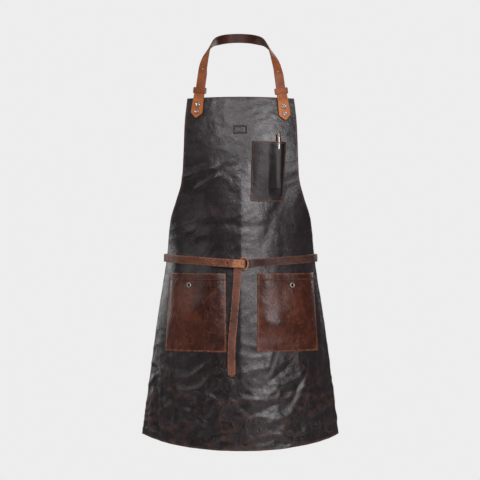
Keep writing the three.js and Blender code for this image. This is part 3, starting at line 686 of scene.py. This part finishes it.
# Pockets
def pocketShape(size, middle, topZ, tilt, swell):
    def shape(x, y):  # y runs from 0 at the foot to the pocket's height
        z = y - size["height"]
        flare = 1 + size["flare"] * (1 - y / size["height"])
        x = x * flare
        side = middle + x * cos(tilt) + z * sin(tilt)
        level = topZ + z * cos(tilt) - x * sin(tilt)
        lift = size["lift"] + swell(x, y)
        return place(side, level, drape(side, level) + lift)
    return shape


def makePocket(name, size, middle, topZ, tilt, swell, materials, threadOf, slotName, node, holes=()):
    step = size["step"]
    bm = flatGrid(size["width"], size["height"], step, size["height"] / 2)
    for x, y, radius in holes:
        punch(bm, x, y, radius, step)
    shape = pocketShape(size, middle, topZ, tilt, swell)

    def wearAndShade(x, y):
        rim = min(size["width"] / 2 - abs(x), y, size["height"] - y)
        corner = sqrt((size["width"] / 2 - abs(x)) ** 2 + y ** 2)
        return min(1.0, edgeWear(rim, 0.0045) + 0.6 * edgeWear(corner, 0.022))

    piece = layOut(bm, name, materials, shape, wearAndShade, size["thickness"], ahead, 0.45 * mm)
    keep(piece, "apron", slotName, node)
    inset = size["stitchIn"]
    half, height = size["width"] / 2 - inset, size["height"]

    def line(points):
        made = []
        for (ax, ay), (bx, by) in zip(points, points[1:]):
            count = max(2, int(sqrt((bx - ax) ** 2 + (by - ay) ** 2) / (3 * mm)))
            for k in range(count):
                x, y = ax + (bx - ax) * k / count, ay + (by - ay) * k / count
                across = shape(x + 0.001, y) - shape(x - 0.001, y)
                up = shape(x, y + 0.001) - shape(x, y - 0.001)
                made.append((shape(x, y), across.cross(up).normalized()))
        return made

    rows = [line([(-half, height - inset), (-half, inset), (half, inset), (half, height - inset)])]
    rows.append(line([(-half, height - size["hem"]), (half, height - size["hem"])]))
    seam = stitches(name + "Stitching", rows, threadOf, "apron", slotName, pitch=size["pitch"])
    return piece


handPocket = {"width": 0.172, "height": 0.197, "thickness": 1.8 * mm, "lift": 2.2 * mm, "bulge": 9 * mm,
              "stitchIn": 3.6 * mm, "hem": 15 * mm, "step": 2.4 * mm, "flare": 0.02, "pitch": 3.9 * mm,
              "top": -0.617, "inner": {"left": 0.038, "right": 0.044}}
eyelet = {"side": 0.136, "drop": 0.030, "flange": 7 * mm, "hole": 2.9 * mm, "bore": 4.1 * mm}
washer = {"bore": 4.2 * mm, "rim": 6.2 * mm, "thickness": 0.8 * mm, "behind": 3.2 * mm}


def handSwell(name):
    seed = 2.0 if name == "left" else 9.0
    dent = {"left": ((0.020, 0.118), 0.034, 0.0024), "right": ((-0.038, 0.070), 0.042, 0.0050)}[name]
    streakDepth = {"left": 0.0, "right": 0.0016}[name]

    def swell(x, y):
        across = min(abs(x) / (handPocket["width"] / 2), 1)
        up = y / handPocket["height"]
        gape = (1 - across ** 4) * (1 - (1 - up) ** 3)
        soft = uneven(x * 16, y * 14, seed) * 0.0022
        fine = uneven(x * 48, y * 44, seed + 4) * 0.0006
        (dx, dy), wide, high = dent
        belly = high * exp(-((x - dx) ** 2 + ((y - dy) * 1.8) ** 2) / wide ** 2)
        hem = 0.0007 * (1 - ease(handPocket["height"] - y, 0.014, 0.0165))
        inside = ease(handPocket["width"] / 2 - abs(x), 0.006, 0.022) * ease(y, 0.006, 0.022)
        streak = -streakDepth * bell(y - 0.105 - (x - 0.01) * 0.45, 0.006)
        streak *= ease(x, -0.02, 0.0) * (1 - ease(x, 0.05, 0.07))
        return handPocket["bulge"] * gape + (soft + fine + belly + streak) * inside + hem
    return swell


def makeHandPockets():
    for name, sign in (("left", -1), ("right", 1)):
        middle = sign * (handPocket["inner"][name] + handPocket["width"] / 2)
        hole = (sign * eyelet["side"] - middle, handPocket["height"] - eyelet["drop"], eyelet["bore"])
        swell = handSwell(name)
        makePocket("handPocket" + name.capitalize(), handPocket, middle, handPocket["top"], 0, swell,
                   [pocketLeather, pocketEdge], tanThread, "pocket_leather", "hand_pocket_" + name, [hole])
        shape = pocketShape(handPocket, middle, handPocket["top"], 0, swell)
        x, y, _ = hole
        at = shape(x, y)
        across = shape(x + 0.003, y) - shape(x - 0.003, y)
        up = shape(x, y + 0.003) - shape(x, y - 0.003)
        makeEyelet(name, at, across.cross(up).normalized())


# Turned metal: profiles of (radius, height), turned about the axis
def turnedPiece(name, profile, at, axis, materials, steps=48):
    bm = bmesh.new()
    points = [bm.verts.new((r, 0, h)) for r, h in profile]
    edges = [bm.edges.new(pair) for pair in zip(points, points[1:])]
    bmesh.ops.spin(bm, geom=points + edges, cent=(0, 0, 0), axis=(0, 0, 1), angle=2 * pi, steps=steps,
                   use_merge=True, use_duplicate=False)
    bmesh.ops.remove_doubles(bm, verts=bm.verts, dist=1e-6)
    bmesh.ops.recalc_face_normals(bm, faces=bm.faces)
    turn = axis.to_track_quat("Z", "Y").to_matrix().to_4x4()
    bmesh.ops.transform(bm, matrix=Matrix.Translation(at) @ turn, verts=bm.verts)
    return finish(bm, name, materials)


def makeEyelet(name, at, out):
    rim, hole = eyelet["flange"], eyelet["hole"]
    profile = [(hole, -3.6 * mm), (4 * mm, -3.6 * mm), (4 * mm, 0.05 * mm), (rim * 0.97, 0.05 * mm),
               (rim, 0.3 * mm), (rim * 0.96, 0.8 * mm), (rim * 0.82, 1.2 * mm), (rim * 0.66, 1.3 * mm),
               (hole * 1.25, 1.0 * mm), (hole, 0.4 * mm), (hole, -3.6 * mm)]
    piece = turnedPiece("pocketEyelet" + name.capitalize(), profile, at, out, [nickel])
    keep(piece, "apron", "nickel", "pocket_eyelet_" + name)
    bore, outer, thickness = washer["bore"], washer["rim"], washer["thickness"]
    flatRing = [(bore, 0), (outer, 0), (outer, thickness), (bore, thickness), (bore, 0)]
    back = turnedPiece("eyeletWasher" + name.capitalize(), flatRing, at - out * washer["behind"], out,
                       [nickel])
    keep(back, "apron", "nickel", "eyelet_washer_" + name)


# Chest pocket, with the pen's ridge
penRadius = 5.25 * mm
penLow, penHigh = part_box("pen")
penFoot = Vector(((penLow.x + penHigh.x) / 2, penLow.y + penRadius, penLow.z))
penTop = Vector(((penLow.x + penHigh.x) / 2, penHigh.y - penRadius, penHigh.z))
penSide = 0.095
chestPocket = {"width": 0.087, "height": 0.151, "thickness": 1.8 * mm, "lift": 2.1 * mm, "bulge": 5.4 * mm,
               "stitchIn": 3.2 * mm, "hem": 4.5 * mm, "step": 1.7 * mm, "flare": -0.01, "pitch": 3.6 * mm,
               "top": -0.286, "middle": 0.072, "tilt": 0.026, "penRoom": 0.9 * mm}


def penFrontOut(z):
    share = (z - penFoot.z) / (penTop.z - penFoot.z)
    at = penFoot.lerp(penTop, min(max(share, 0), 1))
    return panelSurface(penSide, z).y - at.y + penRadius


def chestSwell(x, y):
    pocket = chestPocket
    across = min(abs(x) / (pocket["width"] / 2), 1)
    gape = (1 - across ** 4) * (1 - (1 - y / pocket["height"]) ** 3)
    soft = uneven(x * 22, y * 18, 5.5) * 0.0009
    z = pocket["top"] + y - pocket["height"]
    away = x - (penSide - pocket["middle"]) + (y - pocket["height"]) * pocket["tilt"]
    away = away if away > 0 else -0.7 * away
    need = penFrontOut(z) + pocket["penRoom"] + pocket["thickness"] - pocket["lift"]
    ridge = (1 - ease(away, 0.0025, 0.0185)) * ease(y, 0.004, 0.036)
    inside = ease(pocket["width"] / 2 - abs(x), 0.004, 0.012) * ease(y, 0.004, 0.014)
    plain = pocket["bulge"] * gape + soft * inside
    return plain * (1 - ridge) + max(need, plain) * ridge


def makeChestPocket():
    makePocket("chestPocket", chestPocket, chestPocket["middle"], chestPocket["top"], chestPocket["tilt"],
               chestSwell, [chestLeather, chestLeather], tanThread, "apron_leather", "chest_pocket")


def makePen():
    axis = (penTop - penFoot).normalized()
    length = (penTop - penFoot).length
    r = penRadius
    profile = [(0, 0), (0.5 * mm, 0), (0.8 * mm, 1.5 * mm), (1.3 * mm, 2 * mm), (2.6 * mm, 9 * mm),
               (3.9 * mm, 16 * mm), (4.6 * mm, 24 * mm), (r * 0.96, 40 * mm), (r * 0.98, 66 * mm),
               (r * 0.90, 66.4 * mm), (r * 0.90, 67 * mm), (r, 67.4 * mm), (r, 70 * mm),
               (r * 0.93, 70.5 * mm), (r * 0.97, 71.5 * mm),
               (r * 0.98, length - 14 * mm), (r * 0.9, length - 13.4 * mm),
               (r * 0.98, length - 12.8 * mm), (r * 0.94, length - 4 * mm), (r * 0.82, length - 1.6 * mm),
               (r * 0.5, length - 0.3 * mm), (0, length)]
    pen = turnedPiece("pen", profile, penFoot, axis, [copper])
    pen.name = "writingPen"
    keep(pen, "pen", "pen_metal", "pen")
    # the clip stands off the barrel and hangs over the pocket's edge
    bm = flatGrid(3.4 * mm, 37 * mm, 0.8 * mm)
    roundEnd(bm, -16.8 * mm, 1.7 * mm, -1)

    def shape(x, y):
        up = length - 3 * mm - (18.5 * mm - y)
        off = r + 3.6 * mm - 3.4 * mm * ease(y, 12 * mm, 18.4 * mm) + 0.5 * mm * ease(-y, 13 * mm, 18 * mm)
        return penFoot + axis * up + Vector((x, -off - 0.2 * mm + x * x * 60, 0))

    clip = layOut(bm, "penClip", [nickel, nickel], shape, lambda x, y: 0.0, 0.7 * mm, ahead, 0.2 * mm)
    keep(clip, "pen", "pen_metal")


# Routes for straps: a line through points, each with the way that the outer face looks
def throughPoints(four, t):
    a, b, c, d = four
    knots = [0.0]
    for u, v in ((a, b), (b, c), (c, d)):
        knots.append(knots[-1] + max((v - u).length, 1e-7) ** 0.5)
    at = knots[1] + (knots[2] - knots[1]) * t

    def mix(u, v, i, j):
        share = (at - knots[i]) / (knots[j] - knots[i])
        return u * (1 - share) + v * share

    ab, bc, cd = mix(a, b, 0, 1), mix(b, c, 1, 2), mix(c, d, 2, 3)
    return mix(mix(ab, bc, 0, 2), mix(bc, cd, 1, 3), 1, 2)


def makeRoute(stops):
    points = [2 * stops[0][0] - stops[1][0]] + [at for at, _ in stops] + [2 * stops[-1][0] - stops[-2][0]]
    line, outs, lengths = [], [], [0.0]
    steps = 20
    for i in range(len(stops) - 1):
        for k in range(steps + (i == len(stops) - 2)):
            line.append(throughPoints(points[i:i + 4], k / steps))
            outs.append(stops[i][1].lerp(stops[i + 1][1], k / steps))
    for a, b in zip(line, line[1:]):
        lengths.append(lengths[-1] + (b - a).length)
    last = len(line) - 1
    ways = [(line[min(i + 2, last)] - line[max(i - 2, 0)]).normalized() for i in range(len(line))]
    return line, outs, lengths, ways


def along(route, y):
    line, outs, lengths, ways = route
    y = min(max(y, 0), lengths[-1])
    i = min(bisect_right(lengths, y) - 1, len(line) - 2)
    share = (y - lengths[i]) / max(lengths[i + 1] - lengths[i], 1e-9)
    tangent = ways[i].lerp(ways[i + 1], share).normalized()
    out = outs[i].lerp(outs[i + 1], share)
    out = (out - tangent * out.dot(tangent)).normalized()
    return line[i].lerp(line[i + 1], share), out.cross(tangent), out


def nearestOn(route, point):
    return min(range(len(route[0])), key=lambda k: (route[0][k] - point).length_squared)


# A strap cut flat and laid along a route: pressed line near both edges, edges worn.
def makeStrap(name, route, look, materials, holes=(), relief=lambda x, y: 0.0, roundTail=False):
    width, thickness, step = look["width"], look["thickness"], look["step"]
    length = route[2][-1]
    bm = flatGrid(width, length, step, length / 2)
    if roundTail:
        roundEnd(bm, length - width / 2, width / 2, 1)
    for x, y in holes:
        punch(bm, x, y, look["hole"], step)

    def shape(x, y):
        at, across, out = along(route, y)
        fromEdge = width / 2 - abs(x)
        pressed = -0.22 * mm * bell(fromEdge - look["pressIn"], 0.7 * mm)
        crown = -0.3 * mm * (abs(x) / (width / 2)) ** 4
        ripple = noise.noise(at * 60) * 0.25 * mm
        return at + across * x + out * (thickness / 2 + pressed + crown + ripple + relief(x, y))

    def wearAndShade(x, y):
        rim = 0.0
        for hx, hy in holes:
            away = sqrt((x - hx) ** 2 + (y - hy) ** 2) - look["hole"]
            rim = max(rim, 1 - away / (2.2 * mm))
        paler = look["paler"](x, y) if "paler" in look else 0.0
        return max(edgeWear(width / 2 - abs(x), 2.2 * mm) * 0.9, rim, paler)

    return layOut(bm, name, materials, shape, wearAndShade, thickness,
                  lambda middle: route[1][nearestOn(route, middle)], look["rounding"])


# Tabs: a flat frame on each bib corner, +Z up the strap, -Y outwards
neck = {"width": 24 * mm, "thickness": 3 * mm, "step": 1.6 * mm, "hole": 2.4 * mm, "pressIn": 2.4 * mm,
        "rounding": 0.8 * mm, "flexZ": -0.128, "lean": 0.0054, "endLow": -27 * mm}
tab = {"side": 0.108, "width": 30 * mm, "neck": 26 * mm, "tip": 13 * mm, "top": 43 * mm, "bottom": -35 * mm,
       "thickness": 2.5 * mm, "yaw": 0.252, "pitch": 0.128, "lean": 0.105,
       "screwZ": {"left": -0.1915, "right": -0.197}, "spacing": 19 * mm, "caps": (6.7 * mm, 6.0 * mm),
       "hole": 2.6 * mm, "step": 1.3 * mm, "bendAt": 13.5 * mm, "pressIn": 2.6 * mm}
keeper = {"height": 14 * mm, "wall": 2 * mm, "at": {"left": 36 * mm, "right": 40 * mm}, "slide": 0.7 * mm}
seat, flat = 0.7 * mm, 0.3 * mm
strapMiddle = seat + neck["thickness"] / 2
tabBack = seat + neck["thickness"] + flat
tabFront = tabBack + tab["thickness"]


def tabFrame(name):
    side = -1 if name == "left" else 1
    turn = (Matrix.Rotation(tab["yaw"] * side, 4, "Z") @ Matrix.Rotation(-tab["pitch"], 4, "X")
            @ Matrix.Rotation(-tab["lean"] * side, 4, "Y"))
    return Matrix.Translation(place(side * tab["side"], tab["screwZ"][name], 0)) @ turn


def flexHeight(matrix):
    foot, head = matrix @ Vector((0, -strapMiddle, 0)), matrix @ Vector((0, -strapMiddle, 1))
    return (neck["flexZ"] - foot.z) / (head.z - foot.z)


def makeTab(name):
    matrix = tabFrame(name)
    bm = flatGrid(tab["width"], tab["top"] - tab["bottom"], tab["step"], (tab["top"] + tab["bottom"]) / 2)
    shoulder = tab["bottom"] + tab["tip"]
    for sign in (-1, 1):
        slope = Vector((sign * tab["tip"], -13.5 * mm, 0)).normalized()
        trim(bm, Vector((sign * tab["width"] / 2, shoulder, 0)), slope)
    trim(bm, Vector((0, tab["bottom"] + 0.7 * mm, 0)), Vector((0, -1, 0)))
    screws = (0, -tab["spacing"])
    for y in screws:
        punch(bm, 0, y, tab["hole"], tab["step"])

    def halfAt(y):
        taper = ease(y, shoulder, tab["top"])
        half = tab["width"] / 2 * (1 - taper) + tab["neck"] / 2 * taper
        return min(half, (y - tab["bottom"]) / tab["tip"] * tab["width"] / 2 + 1.2 * mm)

    def shape(x, y):
        taper = ease(y, shoulder, tab["top"])
        x = x * (1 - taper * (1 - tab["neck"] / tab["width"]))
        fromEdge = halfAt(y) - abs(x)
        pressed = -0.25 * mm * bell(fromEdge - tab["pressIn"], 0.7 * mm)
        dimple = sum(-0.35 * mm * exp(-(x * x + (y - at) ** 2) / (7 * mm) ** 2) for at in screws)
        bendLine = -0.3 * mm * bell(y - tab["bendAt"], 1.4 * mm)
        back = -0.35 * mm * ease(y, 13 * mm, 16 * mm)
        ripple = uneven(x * 90, y * 90, 2) * 0.15 * mm
        lift = tabFront + pressed + dimple + bendLine + back + ripple
        return matrix @ Vector((x, -lift, y))

    def wearAndShade(x, y):
        # Above the bend line the tab is coloured darker: painted shade where the tab bends back. The darker
        # edges are rubbed wear.
        shadeAboveBend = ease(y + uneven(x * 60, y * 60, 1) * 4 * mm, 13 * mm, 17 * mm)
        return max(shadeAboveBend, 0.8 * edgeWear(halfAt(y) - abs(x), 1.2 * mm))

    piece = layOut(bm, "strapTab" + name.capitalize(), [tabLeather, strapEdge], shape, wearAndShade,
                   tab["thickness"], ahead, 0.6 * mm)
    keep(piece, "apron", "strap_leather", "strap_tab_" + name)
    axis = (matrix.to_3x3() @ Vector((0, -1, 0))).normalized()
    for level, y, cap in zip(("upper", "lower"), screws, tab["caps"]):
        makeScrew(name, level, matrix, y, cap, axis)


def makeScrew(name, level, matrix, y, cap, axis):
    which = name.capitalize() + level.capitalize()
    post = tabFront + flat + panel["thickness"] + seat + 1.6 * mm
    profile = [(0, 1.5 * mm), (1.6 * mm, 1.45 * mm), (cap * 0.33, 1.1 * mm), (cap * 0.4, 0.95 * mm),
               (cap * 0.5, 1.3 * mm), (cap * 0.62, 2.1 * mm), (cap * 0.78, 2.45 * mm), (cap * 0.92, 2.0 * mm),
               (cap, 1.1 * mm), (cap * 0.98, 0.35 * mm), (cap * 0.93, 0),
               (2.2 * mm, 0), (2.2 * mm, -post), (0, -post)]
    head = matrix @ Vector((0, -tabFront - flat + 0.25 * mm, y))
    screw = turnedPiece("tabScrew" + which, profile, head, axis, [nickel])
    keep(screw, "apron", "nickel", f"tab_screw_{name}_{level}")
    nut = [(2.5 * mm, 0), (2.5 * mm, -1.6 * mm), (4.4 * mm, -1.6 * mm), (5.4 * mm, -1.3 * mm),
           (6 * mm, -0.8 * mm), (6 * mm, 0), (2.5 * mm, 0)]
    foot = matrix @ Vector((0, panel["thickness"] + seat, y))
    back = turnedPiece("tabNut" + which, nut, foot, axis, [steel])
    keep(back, "apron", "nickel", f"tab_nut_{name}_{level}")


def squared(turned):  # a circle pushed out towards a box with round corners
    return copysign(abs(turned) ** (2 / 7), turned)


def makeKeeper(name):
    matrix = tabFrame(name)
    innerX = tab["neck"] + (tab["width"] - tab["neck"]) * 0.4 + 2 * keeper["slide"]
    innerY = tabFront - seat + 2 * keeper["slide"]
    halfX, halfY = innerX / 2 + keeper["wall"], innerY / 2 + keeper["wall"]
    middleOut = (tabFront + seat) / 2
    rows = 14
    bm = bmesh.new()
    bmesh.ops.create_circle(bm, segments=96, radius=1)
    edges = bm.edges[:]
    for _ in range(rows):
        made = bmesh.ops.extrude_edge_only(bm, edges=edges)["geom"]
        points = [g for g in made if isinstance(g, bmesh.types.BMVert)]
        edges = [g for g in made if isinstance(g, bmesh.types.BMEdge)]
        bmesh.ops.translate(bm, vec=(0, 0, 1 / rows), verts=points)
    for v in bm.verts:
        angle = Vector((v.co.x, v.co.y)).angle_signed(Vector((1, 0)))
        x, y = halfX * squared(cos(angle)), halfY * squared(sin(angle))
        up = v.co.z
        groove = 0.45 * mm * bell(up - 0.36, 0.055)
        puff = 0.35 * mm * sin(pi * up)
        shrink = 1 - (groove - puff) / halfX
        tilt = 0.5 * mm * sin(x * 160)
        outward = 1 if y > 0 else -1
        v.co = matrix @ Vector((x * shrink, y + (puff - groove) * outward - middleOut,
                                keeper["at"][name] + (up - 0.5) * keeper["height"] + tilt))
    bmesh.ops.recalc_face_normals(bm, faces=bm.faces)
    bm.verts.layers.float.new("wearAndShade")
    piece = finish(bm, "keeper" + name.capitalize(), [strapLeather, strapEdge, shadedStrapInner])
    thicken(piece, keeper["wall"], 0.5 * mm, even=False)
    keep(piece, "keeper_" + name, "strap_leather", "keeper_" + name)


napeHalf = [  # one side of the loop, for a nape that leans to neither side: middle of the strap, outer face
    ((30, -2, -2), (0.2, 0.97, 0.1)), ((53, -27, -9.5), (0.5, 0.82, 0.28)),
    ((65.5, -64, -19), (0.72, 0.5, 0.45)), ((75.7, -104, -36), (0.87, 0, 0.49)),
    ((83, -132, -52), (0.8, -0.42, 0.43)), ((89.6, -155, -74), (0.62, -0.72, 0.33)),
    ((94.8, -171, -98), (0.44, -0.87, 0.22)),
]


def neckStops():
    halves = {}
    for name, side in (("left", -1), ("right", 1)):
        matrix = tabFrame(name)
        outer = (matrix.to_3x3() @ Vector((0, -1, 0))).normalized()
        stops = []
        for (x, y, z), out in napeHalf:
            share = 1 - z * mm / neck["flexZ"]
            at = Vector((side * x * mm - neck["lean"] * share, y * mm, z * mm))
            stops.append((at, Vector((side * out[0], out[1], out[2])).normalized()))
        for height in (flexHeight(matrix) + 14 * mm, flexHeight(matrix), 38 * mm, 12 * mm, neck["endLow"]):
            stops.append((matrix @ Vector((0, -strapMiddle, height)), outer))
        halves[name] = stops
    nape = (Vector((-neck["lean"], neck["thickness"] / 2, 0)), Vector((0, 1, 0)))
    return halves["left"][::-1] + [nape] + halves["right"]


def makeNeckStrap():
    route = makeRoute(neckStops())
    length = route[2][-1]
    holes = []
    for side, z in ((-1, -0.099), (1, -0.106)):
        heights = [abs(at.z - z) if at.x * side > 0 else 1 for at in route[0]]
        holes.append((0, route[2][heights.index(min(heights))]))
    piece = makeStrap("neckStrap", route, neck, [strapLeather, strapEdge, shadedStrapInner], holes)
    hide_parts("neck_strap", "strap_end_left", "strap_end_right")
    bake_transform(piece)


# Waist ties
tie = {"width": 20 * mm, "thickness": 2.5 * mm, "step": 1.7 * mm, "hole": 2.2 * mm, "pressIn": 2.2 * mm,
       "rounding": 0.7 * mm, "sideZ": -0.579, "knotZ": -0.5925, "drop": 24 * mm, "reach": 38 * mm,
       "gap": 1.1 * mm, "standOff": 5 * mm, "behind": 21.5 * mm, "depth": 0.104, "cross": 2 * mm,
       "holes": (-0.071, -0.033), "tailLength": 0.262, "tailDrop": 20 * mm, "pivotX": -0.008}
ring = {"x": 8 * mm, "half": 12.5 * mm, "height": 17 * mm, "holeHalf": 8.3 * mm, "holeHeight": 13.3 * mm,
        "thickness": 3 * mm, "bight": 8.3 * mm}
tieOut = tie["gap"] + tie["thickness"] / 2
underOut = seat + 1 * mm + tie["thickness"] / 2
ringOut = underOut + tie["thickness"] / 2 + seat + ring["thickness"] / 2
overOut = ringOut + ring["thickness"] / 2 + seat + tie["thickness"] / 2
anchorIn = -(panel["thickness"] + tie["gap"] + tie["thickness"] / 2)
lowZ = tie["sideZ"] - tie["drop"]
edgeReach, lowReach = arcAt(tie["sideZ"])[2], arcAt(lowZ)[2]


def tieZ(side):
    return tie["knotZ"] + (tie["sideZ"] - tie["knotZ"]) * min(abs(side) / edgeReach, 1)


def onPanel(side, z, out, loose=True):
    across = [drape(side + d, z + e) for d in (-0.014, 0, 0.014) for e in (-0.008, 0.008)] if loose else [0.0]
    lift = max(across)
    up = (place(side, z + 0.004, out) - place(side, z - 0.004, out)).normalized()
    return place(side, z, out + lift), up


def backPoint(turn, offset, z):
    angle = turn * pi / 2
    half = levelValue(1, tie["sideZ"]) + tie["standOff"] + offset
    centre = levelValue(2, tie["sideZ"]) - levelValue(3, tie["sideZ"]) + tie["behind"]
    return Vector((half * sin(angle), centre + (tie["depth"] + offset) * cos(angle), z)), Vector((0, 0, 1))


def backRun(offset, fromZ, toZ):
    settle = 3 * mm if toZ > fromZ else -3 * mm
    levels = (fromZ, fromZ + settle, (fromZ + toZ) / 2, toZ - settle, toZ)
    return [backPoint(turn, offset, z) for turn, z in zip((0.75, 0.4, 0, -0.4, -0.75), levels)]


def sewnEnd(side):
    inside = (lowReach - tie["reach"], lowReach - 4 * mm, lowReach + 2 * mm)
    sewn = [onPanel(side * s, lowZ, anchorIn, False) for s in inside]
    return sewn + [backPoint(side * 1.02, -6 * mm, lowZ)]


def standing(stops):  # the outer face looks away from the wearer: along the tangent turned by the way up
    made = []
    for i, (at, up) in enumerate(stops):
        way = stops[min(i + 1, len(stops) - 1)][0] - stops[max(i - 1, 0)][0]
        made.append((at, way.normalized().cross(up).normalized()))
    return made


def frontRun(sign, nearest):
    sides = [nearest + (edgeReach - 6 * mm - nearest) * k / 9 for k in range(10)]
    return [onPanel(sign * s, tieZ(s), tieOut) for s in sides]


def makeTies():
    def slack(seed):
        return lambda x, y: uneven(x * 30, y * 12, seed) * 0.5 * mm

    start = onPanel(17.5 * mm, tie["knotZ"], ringOut - 3.1 * mm, False)
    loop = [start, onPanel(30 * mm, tieZ(0.03), underOut + 0.6 * mm, False)] + frontRun(1, 0.062)
    loop += [backPoint(1, tie["cross"], tie["sideZ"])] + backRun(tie["cross"], tie["sideZ"], lowZ)
    loop += sewnEnd(-1)[::-1]
    route = makeRoute(standing(loop))

    def loopRelief(x, y):
        crease = sum(-0.5 * mm * bell(y - at + x * x * 40, 1.5 * mm) for at in (0.083, 0.172))
        return slack(1.0)(x, y) + crease

    piece = makeStrap("loopTie", route, tie, [greyTieLeather, tieEdge], relief=loopRelief)
    keep(piece, "apron", "tie_leather", "loop_tie")

    tail = sewnEnd(1) + backRun(-tie["cross"], lowZ, tie["sideZ"])
    tail += [backPoint(-1, tie["cross"], tie["sideZ"])] + frontRun(-1, 0.085)[::-1]
    tail += [onPanel(-s, tieZ(s), out, False) for s, out in
             ((0.064, tieOut + 1.2 * mm), (0.038, overOut - 1.5 * mm), (0.014, overOut))]
    turn = (overOut - underOut) / 2
    for angle in (90, 45, 0, -45, -90):
        side = ring["bight"] - turn + turn * cos(radians(angle))
        tail.append(onPanel(side, tie["knotZ"], ringOut + turn * sin(radians(angle)), False))
    tail.append(onPanel(tie["pivotX"] + tie["width"] / 2 - 2 * mm, tie["knotZ"], underOut, False))
    route = makeRoute(standing(tail))
    holes = []
    for side in tie["holes"]:
        target = place(side, tieZ(side), overOut)
        holes.append((0, route[2][nearestOn(route, target)]))
    turnY = holes[0][1] - 0.058

    def tailRelief(x, y):
        crease = -0.6 * mm * bell(y - turnY - x * x * 60, 1.6 * mm)
        ridge = 0.5 * mm * bell(y - turnY - 0.004 - x * x * 60, 2.2 * mm)
        knot = y - route[2][-1] + 0.074 - 0.7 * x
        fold = 0.7 * mm * bell(knot, 1.3 * mm) - 0.4 * mm * bell(knot + 2.6 * mm, 1.5 * mm)
        return slack(4.0)(x, y) + crease + ridge + fold

    # The tail is coloured paler from just past the second hole to the knot, and a little past the turn.
    def tailPaler(x, y):
        near = ease(y, turnY + 0.004, turnY + 0.016)
        return near * 0.15 + 2.2 * ease(y, holes[1][1] + 0.012, holes[1][1] + 0.022)

    look = {**tie, "paler": tailPaler}
    keep(makeStrap("tailTie", route, look, [tieLeather, tieEdge], holes, tailRelief),
         "apron", "tie_leather", "tail_tie")


def makeRing():
    bm = bmesh.new()
    for across, up in ((ring["half"], ring["height"]), (ring["holeHalf"], ring["holeHeight"])):
        loop = bmesh.ops.create_circle(bm, segments=80, radius=1)["verts"]
        bmesh.ops.scale(bm, vec=(across, up, 1), verts=loop)
    bmesh.ops.bridge_loops(bm, edges=bm.edges[:])
    bmesh.ops.subdivide_edges(bm, edges=[e for e in bm.edges if e.is_manifold], cuts=3, use_grid_fill=True)
    front = place(0, tie["knotZ"], ringOut + ring["thickness"] / 2).y

    def shape(x, y):
        across = sqrt((x / ((ring["half"] + ring["holeHalf"]) / 2)) ** 2
                      + (y / ((ring["height"] + ring["holeHeight"]) / 2)) ** 2) - 1
        lift = -0.5 * mm * (across / 0.2) ** 2 - 1.2 * mm * ease(-x, 0.002, 0.010)
        return Vector((ring["x"] + x, front - lift, tie["knotZ"] + y))

    piece = layOut(bm, "tieRing", [tieLeather, tieEdge], shape, lambda x, y: 1.0, ring["thickness"],
                   ahead, 0.8 * mm)
    keep(piece, "apron", "tie_leather", "tie_ring")


def makeTail():
    headLow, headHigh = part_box("tail_head")
    headY = (headLow.y + headHigh.y) / 2
    topZ = tie["knotZ"] - tie["tailDrop"]
    out = Vector((0, -1, 0))
    stops = [(Vector((tie["pivotX"], headY, tie["knotZ"] + 6 * mm)), out)]
    hang = ((0, 0, 0), (-1, -0.6, 0.08), (-8, -4.6, 0.42), (-14.5, -6.6, 0.72), (-14.5, -6.6, 1))
    for x, y, share in hang:
        at = Vector((tie["pivotX"] + x * mm, headY + y * mm, topZ - share * tie["tailLength"]))
        stops.append((at, out))
    route = makeRoute(stops)
    length = route[2][-1]
    look = {**tie, "width": 19 * mm}

    def relief(x, y):
        curl = 0.9 * mm * ease(y, length - 0.05, length) + uneven(x * 20, y * 9, 8) * 0.6 * mm
        return curl - 0.4 * mm * bell(y - 0.03 - x * x * 30, 1.5 * mm)

    piece = makeStrap("tail", route, look, [tieLeather, tieEdge], [(0, length - 11 * mm)], relief, True)
    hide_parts("tail_head", "tail_strap")
    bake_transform(piece)


# A pressed mark: a plate with a double border
def makeMark(name, mark):
    width, height, turn = mark["width"], mark["height"], mark["turn"]
    bm = flatGrid(width, height, 0.55 * mm)

    def fromEdge(x, y):
        return min(width / 2 - abs(x), height / 2 - abs(y))

    def shape(x, y):
        inner = fromEdge(x, y)
        lift = 1.4 * mm - 1.1 * mm * (1 - ease(inner, 0, 1.2 * mm))
        lift -= 0.75 * mm * bell(inner - 2.2 * mm, 0.5 * mm)
        lift -= 0.45 * mm * bell(inner - 4.4 * mm, 0.4 * mm)
        lozenge = abs(x) / (width * 0.22) + abs(y) / (height * 0.24)
        lift -= 0.5 * mm * (1 - ease(lozenge, 0.8, 1.1))
        side = mark["side"] + x * cos(turn) - y * sin(turn)
        z = mark["z"] + y * cos(turn) + x * sin(turn)
        return leatherAt(side, z, lift)

    def wearAndShade(x, y):
        return 0.6 * edgeWear(fromEdge(x, y), 2.5 * mm)

    piece = layOut(bm, name, [darkLeather, darkLeather], shape, wearAndShade, 1.4 * mm, ahead, 0.1 * mm)
    keep(piece, "apron", "apron_leather")


makePanel()
print("panel done")
makeHandPockets()
makeChestPocket()
makePen()
print("pockets done")
for name in ("left", "right"):
    makeTab(name)
    makeKeeper(name)
makeNeckStrap()
print("neck strap done")
makeTies()
makeRing()
makeTail()
print("ties done")
for name, mark in marks.items():
    makeMark(name, mark)
print("marks done")
